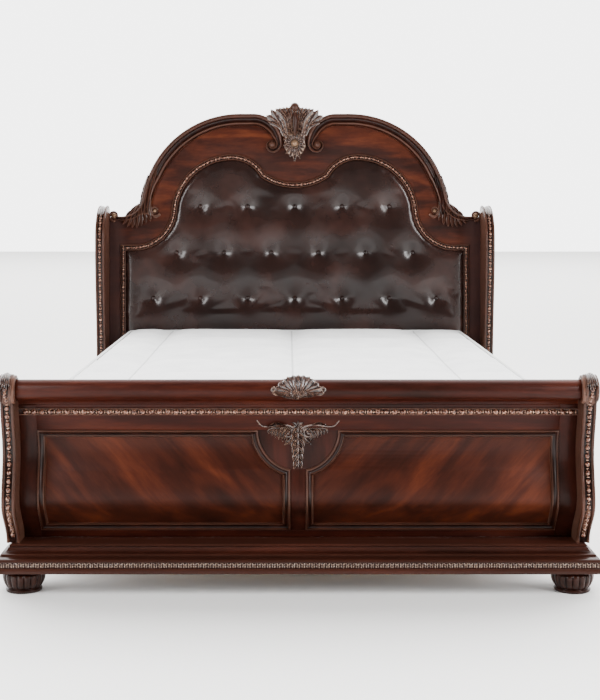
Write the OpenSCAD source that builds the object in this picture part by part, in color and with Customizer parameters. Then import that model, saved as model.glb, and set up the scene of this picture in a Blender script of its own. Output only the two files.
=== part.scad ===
// Queen-size sleigh bed. The posts and the footboard panel share one S-shaped side profile, the headboard
// is an arched panel with a tufted pad, and a slat deck carries the mattress.
// Millimetres. +Z is up, the headboard is towards +Y and the footboard towards -Y.
// The origin is on the floor, under the middle of the overall length and width.

/* [Mattress and deck] */
// Width of the mattress
mattress_w = 1524; // [1270:1:1930]
// Length of the mattress
mattress_l = 2032; // [1690:1:2440]
// Thickness of the mattress
mattress_h = 280; // [230:1:340]
// Height of the slats' top faces, where the mattress lies
deck_z = 337; // [300:1:370]
// Number of slats
slat_n = 12; // [8:1:14]
// Width of a slat
slat_w = 90; // [60:1:110]
// Thickness of a slat
slat_t = 18; // [14:1:24]

/* [Rails] */
// Height of a side rail
rail_h = 200; // [160:1:240]
// Thickness of a side rail
rail_t = 28; // [22:1:34]
// Gap between the mattress and each side rail
rail_gap = 13; // [8:1:20]
// How far the post's inner face lies outside the rail's outer face
post_gap = 63; // [40:1:90]

/* [Posts] */
// Thickness of the curved posts, across the bed
post_w = 41; // [34:1:52]
// Width of the beaded channel down each post
channel_w = 20; // [14:1:24]
// Depth of that channel
channel_d = 7; // [4:1:9]

/* [Headboard] */
// Height of the headboard posts
head_post_h = 1191; // [1130:1:1440]
// How far the posts stand in front of the headboard panel
head_proud = 130; // [100:1:160]
// Thickness of the arched panel
arch_t = 30; // [22:1:38]
// Thickness of the sheet behind the arched panel
back_t = 12; // [6:1:15]
// Width of the beaded frame round the pad
bead_frame_w = 28; // [20:1:34]
// How far the pad stands proud of the panel
pad_proud = 22; // [12:1:28]
// Radius of the pad's buttons
button_r = 9; // [6:1:12]

/* [Footboard] */
// Height of the footboard's scrolls
foot_post_h = 678; // [640:1:800]
// Depth of the footboard posts, front to back
foot_post_d = 125; // [115:1:150]
// How far the posts stand in front of the footboard panel
foot_proud = 80; // [60:1:90]
// Radius of the round top rail
roll_r = 30; // [25:1:36]
// Radius of the scrolls at the post tops
scroll_r = 46; // [40:1:52]
// Thickness of the panel's frame
frame_t = 33; // [26:1:36]
// Width of the moulding round each field
moulding_w = 27; // [20:1:34]
// Height of the bun feet
bun_h = 66; // [50:1:72]
// Radius of the bun feet
bun_r = 66; // [54:1:72]

/* [Centre support] */
// Width of the centre beam
beam_w = 60; // [45:1:75]
// Height of the centre beam
beam_h = 50; // [40:1:65]
// Radius of the support legs
leg_r = 24; // [18:1:30]
// Radius of the levelling screws
screw_r = 5; // [4:0.5:6]
// Travel of the levelling screws
level_travel = 12; // [6:1:15]

/* [Hidden] */
$fn = 48;
SIDES = [-1, 1];

// Widths across the bed, measured from its middle.
rail_in_x = mattress_w / 2 + rail_gap;
rail_out_x = rail_in_x + rail_t;
post_in_x = rail_out_x + post_gap;
post_out_x = post_in_x + post_w;
post_mid_x = (post_in_x + post_out_x) / 2;

// Lengths along the bed. The head plane is the arched panel's front face, and the foot line is the
// footboard posts' front at their waist.
head_back = arch_t + back_t;
mattress_head_gap = 40;
mattress_foot_gap = 13;
scroll_y = -30;
scroll_in = 6;
foot_front = scroll_r - scroll_y;
span = mattress_head_gap + mattress_l + mattress_foot_gap + foot_post_d;
total_l = foot_front + span + head_back;
head_y = total_l / 2 - head_back;
foot_y = head_y - span;

// Heights of the footboard.
plinth_low_h = 45;
plinth_up_h = 31;
plinth_z = bun_h + plinth_low_h + plinth_up_h;
scroll_z = foot_post_h - scroll_r;
neck_z = scroll_z - 28;
cove_z = scroll_z - roll_r - 25;
belly_z = plinth_z + 0.3 * (neck_z - plinth_z);
waist_z = plinth_z + 0.61 * (neck_z - plinth_z);
field_z0 = plinth_z + 23;
field_z1 = cove_z - 85;
bead_z = cove_z - 24;

// The side profile: [height, distance in front of (-) or behind (+) the foot line].
FOOT_KEYS = [[plinth_z, 60], [belly_z, -24], [waist_z, -4], [neck_z, -42]];
STATIONS = steps(plinth_z, scroll_z, 40);
FOOT_LINE = [for (z = STATIONS) [z, along(FOOT_KEYS, z)]];
// The headboard posts' front and back lines, measured from the head plane.
head_belly_z = head_post_h - 150;
head_scroll_r = 55;
head_scroll_y = -25;
head_foot_z = 0.4 * head_belly_z;
HEAD_FRONT = [[head_foot_z, -head_proud], [head_belly_z, -head_proud - 62]];
HEAD_BACK = [[head_foot_z, head_back], [head_belly_z + 25, 20]];

// Outlines of the headboard, from circles that touch each other.
pad_half = post_in_x - 80;
pad_corner_z = head_post_h - 211;
pad_z0 = deck_z + 190;
shoulder_r = 200;
shoulder_c = [pad_half - 38, pad_corner_z + shoulder_r];
lobe_c = [292, pad_corner_z + 165];
lobe_r = norm(shoulder_c - lobe_c) - shoulder_r;
lobe_in_r = 150;
lobe_in_c = [lobe_c[0], lobe_c[1] + lobe_r - lobe_in_r];
dip_r = 277;
dip_c = [0, lobe_c[1] + lobe_r - 130 + dip_r];

neck_r = 104;
neck_c = [post_in_x - 54, head_post_h + 53];
arch_c = [255, head_post_h - 32];
arch_r = norm(neck_c - arch_c) - neck_r;
arch_top_z = arch_c[1] + arch_r;
panel_z0 = 150;
swan_w = 60;
swan_t = 28;
curl_r = 132;
curl_c = [192, arch_top_z - curl_r];
eye_c = [105, arch_top_z - 145];
eye_r = 42;
ball_r = 23;
ball_c = [post_in_x - 24, head_post_h - 50];

clear = 0.3;
glue = 0.1;

function ease(t) = (1 - cos(180 * t)) / 2;
// Smooth value at height z through keys of [height, value], level at each key.
function along(keys, z) =
    z <= keys[0][0] ? keys[0][1]
    : z >= keys[len(keys) - 1][0] ? keys[len(keys) - 1][1]
    : let (i = max([for (j = [0 : len(keys) - 2]) if (keys[j][0] <= z) j]),
           t = (z - keys[i][0]) / (keys[i + 1][0] - keys[i][0]))
      keys[i][1] + (keys[i + 1][1] - keys[i][1]) * ease(t);
function steps(a, b, n) = [for (i = [0 : n]) a + (b - a) * i / n];
// Heights from z0 to z1 that keep to the side profile's stations, so neighbouring faces meet exactly.
function heights(z0, z1) = concat([z0], [for (z = STATIONS) if (z > z0 + 0.01 && z < z1 - 0.01) z], [z1]);
function foot_line(z0, z1, off) = [for (z = heights(z0, z1)) [foot_y + off + lookup(z, FOOT_LINE), z]];
function flip(points) = [for (i = [len(points) - 1 : -1 : 0]) points[i]];
function mirrored(points) = [for (p = flip(points)) [-p[0], p[1]]];
function arc(c, r, a0, a1, n = 12) = [for (a = steps(a0, a1, n)) c + r * [cos(a), sin(a)]];
function bearing(from, to) = atan2(to[1] - from[1], to[0] - from[0]);
// Where two circles cross, on the left of the way from the first centre to the second.
function crossing(c1, r1, c2, r2) =
    let (d = norm(c2 - c1), a = (r1 * r1 - r2 * r2 + d * d) / (2 * d), h = sqrt(r1 * r1 - a * a),
         u = (c2 - c1) / d)
    c1 + a * u + h * [-u[1], u[0]];

// Right half of the pad's outline, grown outwards by o, from the middle of the dip to the bottom.
function pad_half_outline(o) =
    let (cusp = crossing(lobe_in_c, lobe_in_r + o, dip_c, dip_r - o),
         turn = bearing(lobe_c, shoulder_c))
    concat(arc(dip_c, dip_r - o, -90, bearing(dip_c, cusp), 6),
           arc(lobe_in_c, lobe_in_r + o, bearing(lobe_in_c, cusp), 90, 8),
           arc(lobe_c, lobe_r + o, 90, turn, 10),
           arc(shoulder_c, shoulder_r - o, 180 + turn, 270, 8),
           [[pad_half + o, pad_corner_z + o], [pad_half + o, pad_z0 - o]]);
function whole(half) = concat(half, mirrored(half));

// Right half of the arched panel's outline, from the middle of its top to the bottom.
function arch_half_outline() =
    let (turn = bearing(arch_c, neck_c))
    concat([[0, arch_top_z - 70], [110, arch_top_z - 20]],
           arc(arch_c, arch_r - 4, 90, turn, 14),
           arc(neck_c, neck_r + 4, 180 + turn, 270, 6),
           [[post_in_x, neck_c[1] - neck_r - 4], [post_in_x, deck_z]]);

// A board whose outline lies in the YZ plane, from x0 to x1.
module side_board(outline, x0, x1) {
    translate([x0, 0, 0]) rotate([90, 0, 90]) linear_extrude(x1 - x0) polygon(outline);
}
// A board whose outline lies in the XZ plane, t thick, with its front face at y.
module front_board(y, t) {
    translate([0, y + t, 0]) rotate([90, 0, 0]) linear_extrude(t) children();
}
// Part of the footboard's curved slab: off behind the foot line, t thick, from z0 to z1 and x0 to x1.
module foot_slab(off, t, z0, z1, x0, x1) {
    line = foot_line(z0, z1, off);
    side_board(concat(line, flip([for (p = line) p + [t, 0]])), x0, x1);
}
module on_side(s) { if (s < 0) mirror([1, 0, 0]) children(); else children(); }

// ---- Headboard ----

// Front line of a headboard post, from z0 up to where it turns over into the rounded top.
function head_front_line(z0) =
    concat([for (z = steps(z0, head_belly_z, 20)) [head_y + along(HEAD_FRONT, z), z]],
           [for (a = steps(175, 90, 14))
               [head_y + head_scroll_y, head_belly_z]
               + [(head_proud + 62 + head_scroll_y) * cos(a), (head_post_h - head_belly_z) * sin(a)]]);
module headboard_post(s) {
    scroll_c = [head_y + head_scroll_y, head_post_h - head_scroll_r];
    back = concat(arc(scroll_c, head_scroll_r, 75, -45, 8),
                  [for (z = steps(head_belly_z + 20, glide_h, 20)) [head_y + along(HEAD_BACK, z), z]]);
    front = head_front_line(glide_h);
    channel = [for (z = steps(deck_z, head_post_h - 30, 24)) [head_front_at(z), z]];
    color("#3a1c14") on_side(s) difference() {
        side_board(concat(front, back), post_in_x, post_out_x);
        side_board(concat([for (p = channel) p - [20, 0]], flip([for (p = channel) p + [channel_d, 0]])),
                   post_mid_x - channel_w / 2, post_mid_x + channel_w / 2);
    }
}
// Distance of a headboard post's front face at height z.
function head_front_at(z) =
    z <= head_belly_z ? head_y + along(HEAD_FRONT, z)
    : head_y + head_scroll_y - (head_proud + 62 + head_scroll_y)
      * sqrt(1 - pow((z - head_belly_z) / (head_post_h - head_belly_z), 2));
module headboard_post_beads(s) {
    line = [for (z = steps(deck_z, head_post_h - 30, 24)) [head_front_at(z), z]];
    color("#5b3526") on_side(s)
        side_board(concat(line, flip([for (p = line) p + [channel_d, 0]])),
                   post_mid_x - channel_w / 2 + 0.1, post_mid_x + channel_w / 2 - 0.1);
}
glide_h = 5;
module headboard_glides() {
    color("#202020") for (s = SIDES)
        translate([s * post_mid_x, head_y - head_proud / 2 + head_back / 2, 0]) cylinder(r = 15, h = glide_h);
}
module headboard_arch_panel() {
    color("#4a2317") front_board(head_y, arch_t) difference() {
        polygon(whole(arch_half_outline()));
        polygon(whole(pad_half_outline(0.5)));
    }
}
module headboard_backboard() {
    color("#2e1a12") front_board(head_y + arch_t, back_t) intersection() {
        polygon(whole(arch_half_outline()));
        translate([-post_in_x, panel_z0]) square([2 * post_in_x, arch_top_z - 120 - panel_z0]);
    }
    color("#2e1a12") translate([-post_in_x, head_y + arch_t, panel_z0]) cube([2 * post_in_x, back_t, deck_z - panel_z0]);
}
module headboard_bottom_rail() {
    color("#3a1c14") translate([-post_in_x, head_y, panel_z0]) cube([2 * post_in_x, arch_t, deck_z - panel_z0]);
}
module headboard_bead_frame() {
    color("#5b3526") front_board(head_y - 12, 12) difference() {
        polygon(whole(pad_half_outline(bead_frame_w)));
        polygon(whole(pad_half_outline(0.5)));
    }
}
module headboard_pad() {
    color("#2c1c1a") front_board(head_y - pad_proud, pad_proud + arch_t) polygon(whole(pad_half_outline(0)));
}
// Three rows of buttons, set out on a diamond pitch from the middle of the bed.
button_pitch = pad_half / 3.57;
button_row_z = [pad_corner_z - 221, pad_corner_z - 8, pad_corner_z + 207];
BUTTONS = [for (x = [-3 : 3]) [x * button_pitch, button_row_z[0]],
           for (x = [-2.5 : 2.5]) [x * button_pitch, button_row_z[1]],
           for (x = [-2 : 2]) [x * button_pitch, button_row_z[2]]];
module headboard_buttons() {
    color("#2c1c1a") for (b = BUTTONS)
        translate([b[0], head_y - pad_proud, b[1]]) rotate([90, 0, 0]) cylinder(r = button_r, h = 5);
}
// Band between two radii of a circle, from angle a0 to a1.
module band(c, r0, r1, a0, a1) {
    polygon(concat(arc(c, r0, a0, a1, 20), flip(arc(c, r1, a0, a1, 20))));
}
module swan_neck(s) {
    turn = bearing(arch_c, neck_c);
    leaf_top = neck_c + (neck_r + 20) * [cos(180 + turn), sin(180 + turn)];
    leaf_side = arch_c + [arch_r - swan_w, 30];
    leaf_scroll = shoulder_c + [-91, -5];
    leaf_tip = [pad_half - 100, pad_corner_z + 140];
    color("#3f1f16") on_side(s) front_board(head_y - swan_t, swan_t) difference() {
        union() {
            band(arch_c, arch_r - swan_w, arch_r, turn - 0.5, 90.2);
            translate([curl_c[0], arch_top_z - swan_w]) square([arch_c[0] - curl_c[0] + 1, swan_w]);
            band(curl_c, curl_r - 40, curl_r, 89, 190);
            translate(eye_c) circle(r = eye_r);
            band(neck_c, neck_r - 1, neck_r + 30, 179 + turn, 285);
            polygon([leaf_top, leaf_side, leaf_scroll, leaf_tip, neck_c - [0, neck_r + 20]]);
            translate(ball_c) circle(r = ball_r);
        }
        translate(neck_c) circle(r = neck_r, $fn = 96);
    }
}
// The carved cartouche between the two swan necks.
crest_top_z = arch_top_z + 48;
module headboard_crest() {
    half = [[0, 261], [20, 254], [30, 228], [52, 238], [84, 240], [104, 228], [129, 206], [97, 172],
            [52, 128], [48, 80], [56, 62], [40, 30], [0, 0]];
    color("#4d3429") difference() {
        front_board(head_y - swan_t - 10, swan_t + 10) polygon([for (p = whole(half)) p + [0, crest_top_z - 261]]);
        for (s = SIDES) on_side(s) front_board(head_y - swan_t - clear, swan_t + 20) {
            translate(curl_c) circle(r = curl_r + clear, $fn = 96);
            translate(eye_c) circle(r = eye_r + clear);
        }
    }
}

// ---- Footboard ----

module footboard_post(s) {
    line = foot_line(plinth_z, neck_z, 0);
    scroll_c = [foot_y + scroll_y, scroll_z];
    back_top = [foot_y + scroll_y + foot_post_d, neck_z];
    color("#3a1c14") on_side(s) difference() {
        union() {
            side_board(concat(line, [scroll_c + [0, scroll_r - 10], scroll_c + [scroll_r, 10], back_top - [10, -14]],
                              flip([for (p = line) p + [foot_post_d, 0]])), post_in_x, post_out_x);
            translate([post_in_x - scroll_in, scroll_c[0], scroll_c[1]]) rotate([0, 90, 0])
                cylinder(r = scroll_r, h = post_w + scroll_in, $fn = 72);
        }
        side_board(concat([for (p = line) p - [20, 0]], flip([for (p = line) p + [channel_d, 0]])),
                   post_mid_x - channel_w / 2, post_mid_x + channel_w / 2);
    }
}
module footboard_post_beads(s) {
    line = foot_line(plinth_z, scroll_z - scroll_r, 0);
    color("#5b3526") on_side(s)
        side_board(concat(line, flip([for (p = line) p + [channel_d, 0]])),
                   post_mid_x - channel_w / 2 + 0.1, post_mid_x + channel_w / 2 - 0.1);
}
module footboard_roll() {
    color("#4a2317") translate([-post_in_x + scroll_in, foot_y + scroll_y, scroll_z]) rotate([0, 90, 0])
        cylinder(r = roll_r, h = 2 * (post_in_x - scroll_in), $fn = 72);
}
// The rail that carries the roll: hollow curve in front, cradle on top.
module footboard_cove() {
    front = foot_y + foot_proud + along(FOOT_KEYS, cove_z);
    cove = [for (a = steps(0, 90, 10))
               [foot_y + scroll_y + (front - foot_y - scroll_y) * cos(a), cove_z + (roll_r * 0.85) * sin(a)]];
    back = foot_y + foot_post_d + along(FOOT_KEYS, cove_z);
    color("#3a1c14") difference() {
        side_board(concat(cove, [[foot_y + scroll_y, scroll_z], [foot_y + scroll_y + roll_r - 4, scroll_z + 12],
                                 [back - 30, cove_z + 36], [back, cove_z + 12], [back, cove_z]]),
                   -post_in_x, post_in_x);
        translate([-post_in_x - 1, foot_y + scroll_y, scroll_z]) rotate([0, 90, 0])
            cylinder(r = roll_r, h = 2 * post_in_x + 2, $fn = 72);
        for (s = SIDES) on_side(s) translate([post_in_x - scroll_in, foot_y + scroll_y, scroll_z]) rotate([0, 90, 0])
            cylinder(r = scroll_r, h = scroll_in + 1, $fn = 72);
    }
}
// Frame of the panel.
stile_w = 54;
bowl_r = 125;
stem_half = 24.5;
field_out_x = post_in_x - stile_w;
module footboard_upper_rail() {
    color("#42201a") foot_slab(foot_proud, frame_t, field_z1, cove_z, -field_out_x, field_out_x);
}
module footboard_lower_rail() {
    color("#42201a") foot_slab(foot_proud, frame_t, plinth_z, field_z0, -field_out_x, field_out_x);
}
module footboard_stile(s) {
    color("#33190f") on_side(s) foot_slab(foot_proud, frame_t, plinth_z, cove_z, field_out_x, post_in_x);
}
module footboard_centre_stile() {
    color("#42201a") intersection() {
        foot_slab(foot_proud, frame_t, field_z0, field_z1, -bowl_r, bowl_r);
        front_board(foot_y - 100, 400) union() {
            intersection() {
                translate([0, field_z1]) circle(r = bowl_r, $fn = 96);
                translate([-bowl_r, 0]) square([2 * bowl_r, field_z1]);
            }
            translate([-stem_half, field_z0]) square([2 * stem_half, field_z1 - field_z0 - bowl_r / 2]);
        }
    }
}
// Outline of the right-hand field, taken in by o on every side.
module field_outline(o) {
    difference() {
        translate([stem_half + o, field_z0 + o])
            square([field_out_x - stem_half - 2 * o, field_z1 - field_z0 - 2 * o]);
        translate([0, field_z1]) circle(r = bowl_r + o, $fn = 96);
    }
}
module footboard_field(s) {
    color("#4a2318") on_side(s) intersection() {
        foot_slab(foot_proud + 12, frame_t - 12, field_z0, field_z1, stem_half, field_out_x);
        front_board(foot_y - 100, 400) field_outline(0.1);
    }
}
module footboard_moulding(s) {
    color("#33190f") on_side(s) intersection() {
        foot_slab(foot_proud - 6, 18, field_z0, field_z1, stem_half, field_out_x);
        front_board(foot_y - 100, 400) difference() {
            field_outline(0.1);
            field_outline(moulding_w);
        }
    }
}
module footboard_bead_strip() {
    color("#5b3526") foot_slab(foot_proud - 8, 8 - glue, bead_z - 10, bead_z + 10, -post_in_x, post_in_x);
}
module roll_crest() {
    color("#4d3429") translate([-83, foot_y + scroll_y, scroll_z]) rotate([0, 90, 0]) difference() {
        cylinder(r = roll_r + 12, h = 166, $fn = 72);
        translate([0, 0, -1]) cylinder(r = roll_r, h = 168, $fn = 72);
        translate([-2, 0, -1]) cube([100, 100, 168]);
        translate([14, -100, -1]) cube([100, 200, 168]);
        translate([-100, 14, -1]) cube([200, 100, 168]);
    }
}
module footboard_applique() {
    half = [[0, 156], [22, 150], [26, 138], [48, 146], [90, 140], [128, 152], [118, 136], [88, 126], [84, 104],
            [52, 92], [30, 80], [24, 40], [20, 6], [0, 0]];
    color("#4d3429") intersection() {
        foot_slab(foot_proud - 10, 10 - glue, field_z1 - 126, field_z1 + 32, -140, 140);
        front_board(foot_y - 100, 400) polygon([for (p = whole(half)) p + [0, field_z1 - 125]]);
    }
}
module footboard_backboard() {
    color("#2e1a12") foot_slab(foot_proud + frame_t + glue, foot_post_d - foot_proud - frame_t - glue, plinth_z, cove_z,
                               -post_in_x, post_in_x);
}
// Base mouldings under the footboard, stepped on the front and the two ends.
plinth_back = foot_y + foot_post_d + 52;
plinth_low_out = 23;
plinth_up_out = 11;
plinth_low_front = foot_y - 23;
bun_inset = 8;
plinth_up_front = foot_y + 19;
module plinth_lower() {
    w = post_out_x + plinth_low_out;
    color("#3a1c14") translate([-w, plinth_low_front, bun_h]) cube([2 * w, plinth_back - plinth_low_front, plinth_low_h]);
}
module plinth_upper() {
    w = post_out_x + plinth_up_out;
    z = bun_h + plinth_low_h;
    color("#42201a") union() {
        translate([-w, plinth_up_front, z]) cube([2 * w, plinth_back - plinth_up_front, plinth_up_h * 0.7]);
        translate([-w + 8, plinth_up_front + 8, z]) cube([2 * w - 16, plinth_back - plinth_up_front - 8, plinth_up_h]);
    }
}
module bun_foot(s) {
    neck = bun_r - 10;
    color("#3a1c14") translate([s * (post_out_x - bun_r + 9), plinth_low_front + bun_r + bun_inset, 0]) rotate_extrude()
        polygon([[0, 0], [neck - 4, 0], [neck, 4], [neck, 10], [neck - 3, 14], [bun_r - 3, bun_h * 0.55],
                 [bun_r, bun_h * 0.75], [bun_r - 3, bun_h - 4], [bun_r - 8, bun_h], [0, bun_h]]);
}

// ---- Uprights, rails and their hook fittings ----

leg_w = 60;
leg_z1 = deck_z + 69;
rail_z0 = deck_z + 49 - rail_h;
foot_leg_back = foot_y + foot_post_d + 90;
head_leg_front = head_y - 60;
plate_t = 3;
plate_w = 22;
plate_h = rail_h * 0.62;
plate_z = rail_z0 + rail_h / 2 - plate_h / 2;
hook_w = 4;
hook_h = 20;
hook_l = 12;
rail_mid_x = (rail_in_x + rail_out_x) / 2;
HOOK_Z = [plate_z + 16, plate_z + plate_h - 16 - hook_h];
// Fittings are drawn for the end at plane y, and d is the way from the upright towards the rail.
module slot_plate(y, d, grow = 0) {
    y0 = d > 0 ? y - plate_t : y;
    translate([rail_mid_x - plate_w / 2 - grow, y0, plate_z - grow]) cube([plate_w + 2 * grow, plate_t, plate_h + 2 * grow]);
}
module hooks(y, d, grow = 0, deep = 0) {
    length = hook_l + deep;
    y0 = d > 0 ? y - length : y;
    for (z = HOOK_Z)
        translate([rail_mid_x - hook_w / 2 - grow, y0, z - grow]) cube([hook_w + 2 * grow, length, hook_h + 2 * grow]);
}
module footboard_leg(s) {
    line = foot_line(plinth_z, leg_z1, foot_post_d);
    color("#3a1c14") on_side(s) difference() {
        side_board(concat(line, [[foot_leg_back, leg_z1], [foot_leg_back, plinth_z]]), rail_in_x, rail_in_x + leg_w);
        slot_plate(foot_leg_back, 1, 0.1);
        hooks(foot_leg_back, 1, 1, 3);
    }
}
module headboard_leg(s) {
    color("#3a1c14") on_side(s) difference() {
        translate([rail_in_x, head_leg_front, panel_z0]) cube([leg_w, head_y - head_leg_front, leg_z1 - panel_z0]);
        slot_plate(head_leg_front, -1, 0.1);
        hooks(head_leg_front, -1, 1, 3);
    }
}
module post_slot_plates() {
    color("#8a8d90") for (s = SIDES) on_side(s) for (end = [[foot_leg_back, 1], [head_leg_front, -1]]) difference() {
        slot_plate(end[0], end[1]);
        hooks(end[0], end[1], 0.5, 3);
    }
}
module rail_hook_plates() {
    color("#8a8d90") for (s = SIDES) on_side(s) for (end = [[foot_leg_back, 1], [head_leg_front, -1]]) {
        slot_plate(end[0] + end[1] * plate_t, end[1]);
        hooks(end[0] + end[1] * plate_t / 2, end[1]);
    }
}
module side_rail(s) {
    y0 = foot_leg_back + plate_t;
    y1 = head_leg_front - plate_t;
    color("#3f1f16") on_side(s) translate([rail_in_x, y0, rail_z0]) cube([rail_t, y1 - y0, rail_h]);
}
cleat_w = 34;
cleat_h = 30;
module slat_cleat(s) {
    y0 = foot_leg_back + 20;
    color("#b08d5f") on_side(s) difference() {
        translate([rail_in_x - cleat_w, y0, deck_z - slat_t - cleat_h]) cube([cleat_w, head_leg_front - 20 - y0, cleat_h]);
        for (y = SLAT_Y)
            translate([screw_x, y, deck_z - slat_t - 22]) cylinder(r = slat_screw_r + 0.2, h = 30);
    }
}

// ---- Slat deck and its centre support ----

slat_screw_r = 2.2;
slat_half = rail_in_x - 3;
slat_y0 = foot_leg_back + 75;
slat_y1 = head_leg_front - 75;
SLAT_Y = steps(slat_y0, slat_y1, slat_n - 1);
screw_x = slat_half - 14;
module slats() {
    color("#c9a673") for (y = SLAT_Y) difference() {
        translate([-slat_half, y - slat_w / 2, deck_z - slat_t]) cube([2 * slat_half, slat_w, slat_t]);
        for (s = SIDES) {
            translate([s * screw_x, y, deck_z - slat_t - 1]) cylinder(r = slat_screw_r + 0.2, h = slat_t + 2);
            translate([s * screw_x, y, deck_z - 4]) cylinder(r = 5.5, h = 5);
        }
    }
}
module slat_screws() {
    color("#9a9c9e") for (y = SLAT_Y, s = SIDES) translate([s * screw_x, y, 0]) {
        translate([0, 0, deck_z - slat_t - 20]) cylinder(r = slat_screw_r, h = slat_t + 17);
        translate([0, 0, deck_z - 4]) cylinder(r = 5, h = 3);
    }
}
beam_z1 = deck_z - slat_t;
beam_y0 = foot_y + foot_post_d + 70;
beam_y1 = head_y - 60;
hanger_w = beam_w + 40;
lip = 25;
module centre_beam() {
    color("#b08d5f") translate([-beam_w / 2, beam_y0, beam_z1 - beam_h]) cube([beam_w, beam_y1 - beam_y0, beam_h]);
}
// Blocks on the footboard's back and the headboard's bottom rail, each with a lip under the beam's end.
module beam_hangers() {
    z0 = beam_z1 - beam_h - lip;
    line = foot_line(z0, beam_z1, foot_post_d);
    color("#b08d5f") difference() {
        side_board(concat(line, [[beam_y0 + 40, beam_z1], [beam_y0 + 40, z0]]), -hanger_w / 2, hanger_w / 2);
        translate([-beam_w / 2 - clear, beam_y0, beam_z1 - beam_h]) cube([beam_w + 2 * clear, 100, beam_h + 1]);
    }
    color("#b08d5f") difference() {
        translate([-hanger_w / 2, beam_y1 - 40, z0]) cube([hanger_w, head_y - beam_y1 + 40, beam_h + lip]);
        translate([-beam_w / 2 - clear, beam_y1 - 100, beam_z1 - beam_h]) cube([beam_w + 2 * clear, 100, beam_h + 1]);
    }
}
// Levelling screws: a pad on the floor and a stem that turns in an insert in the leg's end.
pad_h = 8;
leg_z0 = pad_h + level_travel + 2;
stem_top = leg_z0 + 34;
insert_h = 30;
insert_r = screw_r + 4;
SUPPORT_Y = steps(beam_y0 + 280, beam_y1 - 280, 2);
module support_leg(i) {
    color("#b08d5f") translate([0, SUPPORT_Y[i], leg_z0]) difference() {
        cylinder(r = leg_r, h = beam_z1 - beam_h - leg_z0);
        translate([0, 0, -1]) cylinder(r = insert_r, h = insert_h + 1);
        translate([0, 0, insert_h - 1]) cylinder(r = screw_r + 1, h = 8 + level_travel);
    }
}
module leveller_inserts() {
    color("#b8a15a") for (y = SUPPORT_Y) translate([0, y, leg_z0]) difference() {
        cylinder(r = insert_r, h = insert_h);
        translate([0, 0, -1]) cylinder(r = screw_r + 0.05, h = insert_h + 2);
    }
}
module leveller(i) {
    color("#2b2b2b") translate([0, SUPPORT_Y[i], 0]) {
        cylinder(r1 = leg_r - 7, r2 = leg_r - 10, h = pad_h);
        translate([0, 0, pad_h - 1]) cylinder(r = screw_r, h = stem_top - pad_h + 1);
    }
}
module mattress() {
    r = 70;
    y0 = head_y - mattress_head_gap - mattress_l;
    color("#e9e9e7") translate([0, 0, deck_z]) linear_extrude(mattress_h) union() {
        translate([-mattress_w / 2 + r, y0]) square([mattress_w - 2 * r, mattress_l]);
        translate([-mattress_w / 2, y0 + r]) square([mattress_w, mattress_l - 2 * r]);
        for (x = SIDES, y = [y0 + r, y0 + mattress_l - r])
            translate([x * (mattress_w / 2 - r), y]) circle(r = r);
    }
}

headboard_post(-1);  // headboard_post_left
headboard_post(1);  // headboard_post_right
headboard_arch_panel();
headboard_backboard();
headboard_bottom_rail();
headboard_leg(-1);  // headboard_leg_left
headboard_leg(1);  // headboard_leg_right
headboard_bead_frame();
headboard_pad();
headboard_buttons();
swan_neck(-1);  // swan_neck_left
swan_neck(1);  // swan_neck_right
headboard_crest();
headboard_post_beads(-1);  // headboard_post_beads_left
headboard_post_beads(1);  // headboard_post_beads_right
headboard_glides();
footboard_post(-1);  // footboard_post_left
footboard_post(1);  // footboard_post_right
footboard_roll();
footboard_cove();
footboard_upper_rail();
footboard_lower_rail();
footboard_stile(-1);  // footboard_stile_left
footboard_stile(1);  // footboard_stile_right
footboard_centre_stile();
footboard_field(-1);  // footboard_field_left
footboard_field(1);  // footboard_field_right
footboard_moulding(-1);  // footboard_moulding_left
footboard_moulding(1);  // footboard_moulding_right
footboard_bead_strip();
footboard_post_beads(-1);  // footboard_post_beads_left
footboard_post_beads(1);  // footboard_post_beads_right
roll_crest();
footboard_applique();
footboard_backboard();
plinth_upper();
plinth_lower();
bun_foot(-1);  // bun_foot_left
bun_foot(1);  // bun_foot_right
footboard_leg(-1);  // footboard_leg_left
footboard_leg(1);  // footboard_leg_right
side_rail(-1);  // side_rail_left
side_rail(1);  // side_rail_right
slat_cleat(-1);  // slat_cleat_left
slat_cleat(1);  // slat_cleat_right
rail_hook_plates();
post_slot_plates();
slats();
slat_screws();
centre_beam();
beam_hangers();
support_leg(0);  // support_leg_1
support_leg(1);  // support_leg_2
support_leg(2);  // support_leg_3
leveller_inserts();
mattress();
leveller(0);  // leveller_1
leveller(1);  // leveller_2
leveller(2);  // leveller_3
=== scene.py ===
import bmesh
import bpy
from math import asin, atan2, cos, degrees, exp, hypot, pi, radians, sin, sqrt, tau
from mathutils import Matrix, Vector, noise
from mathutils.kdtree import KDTree


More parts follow.
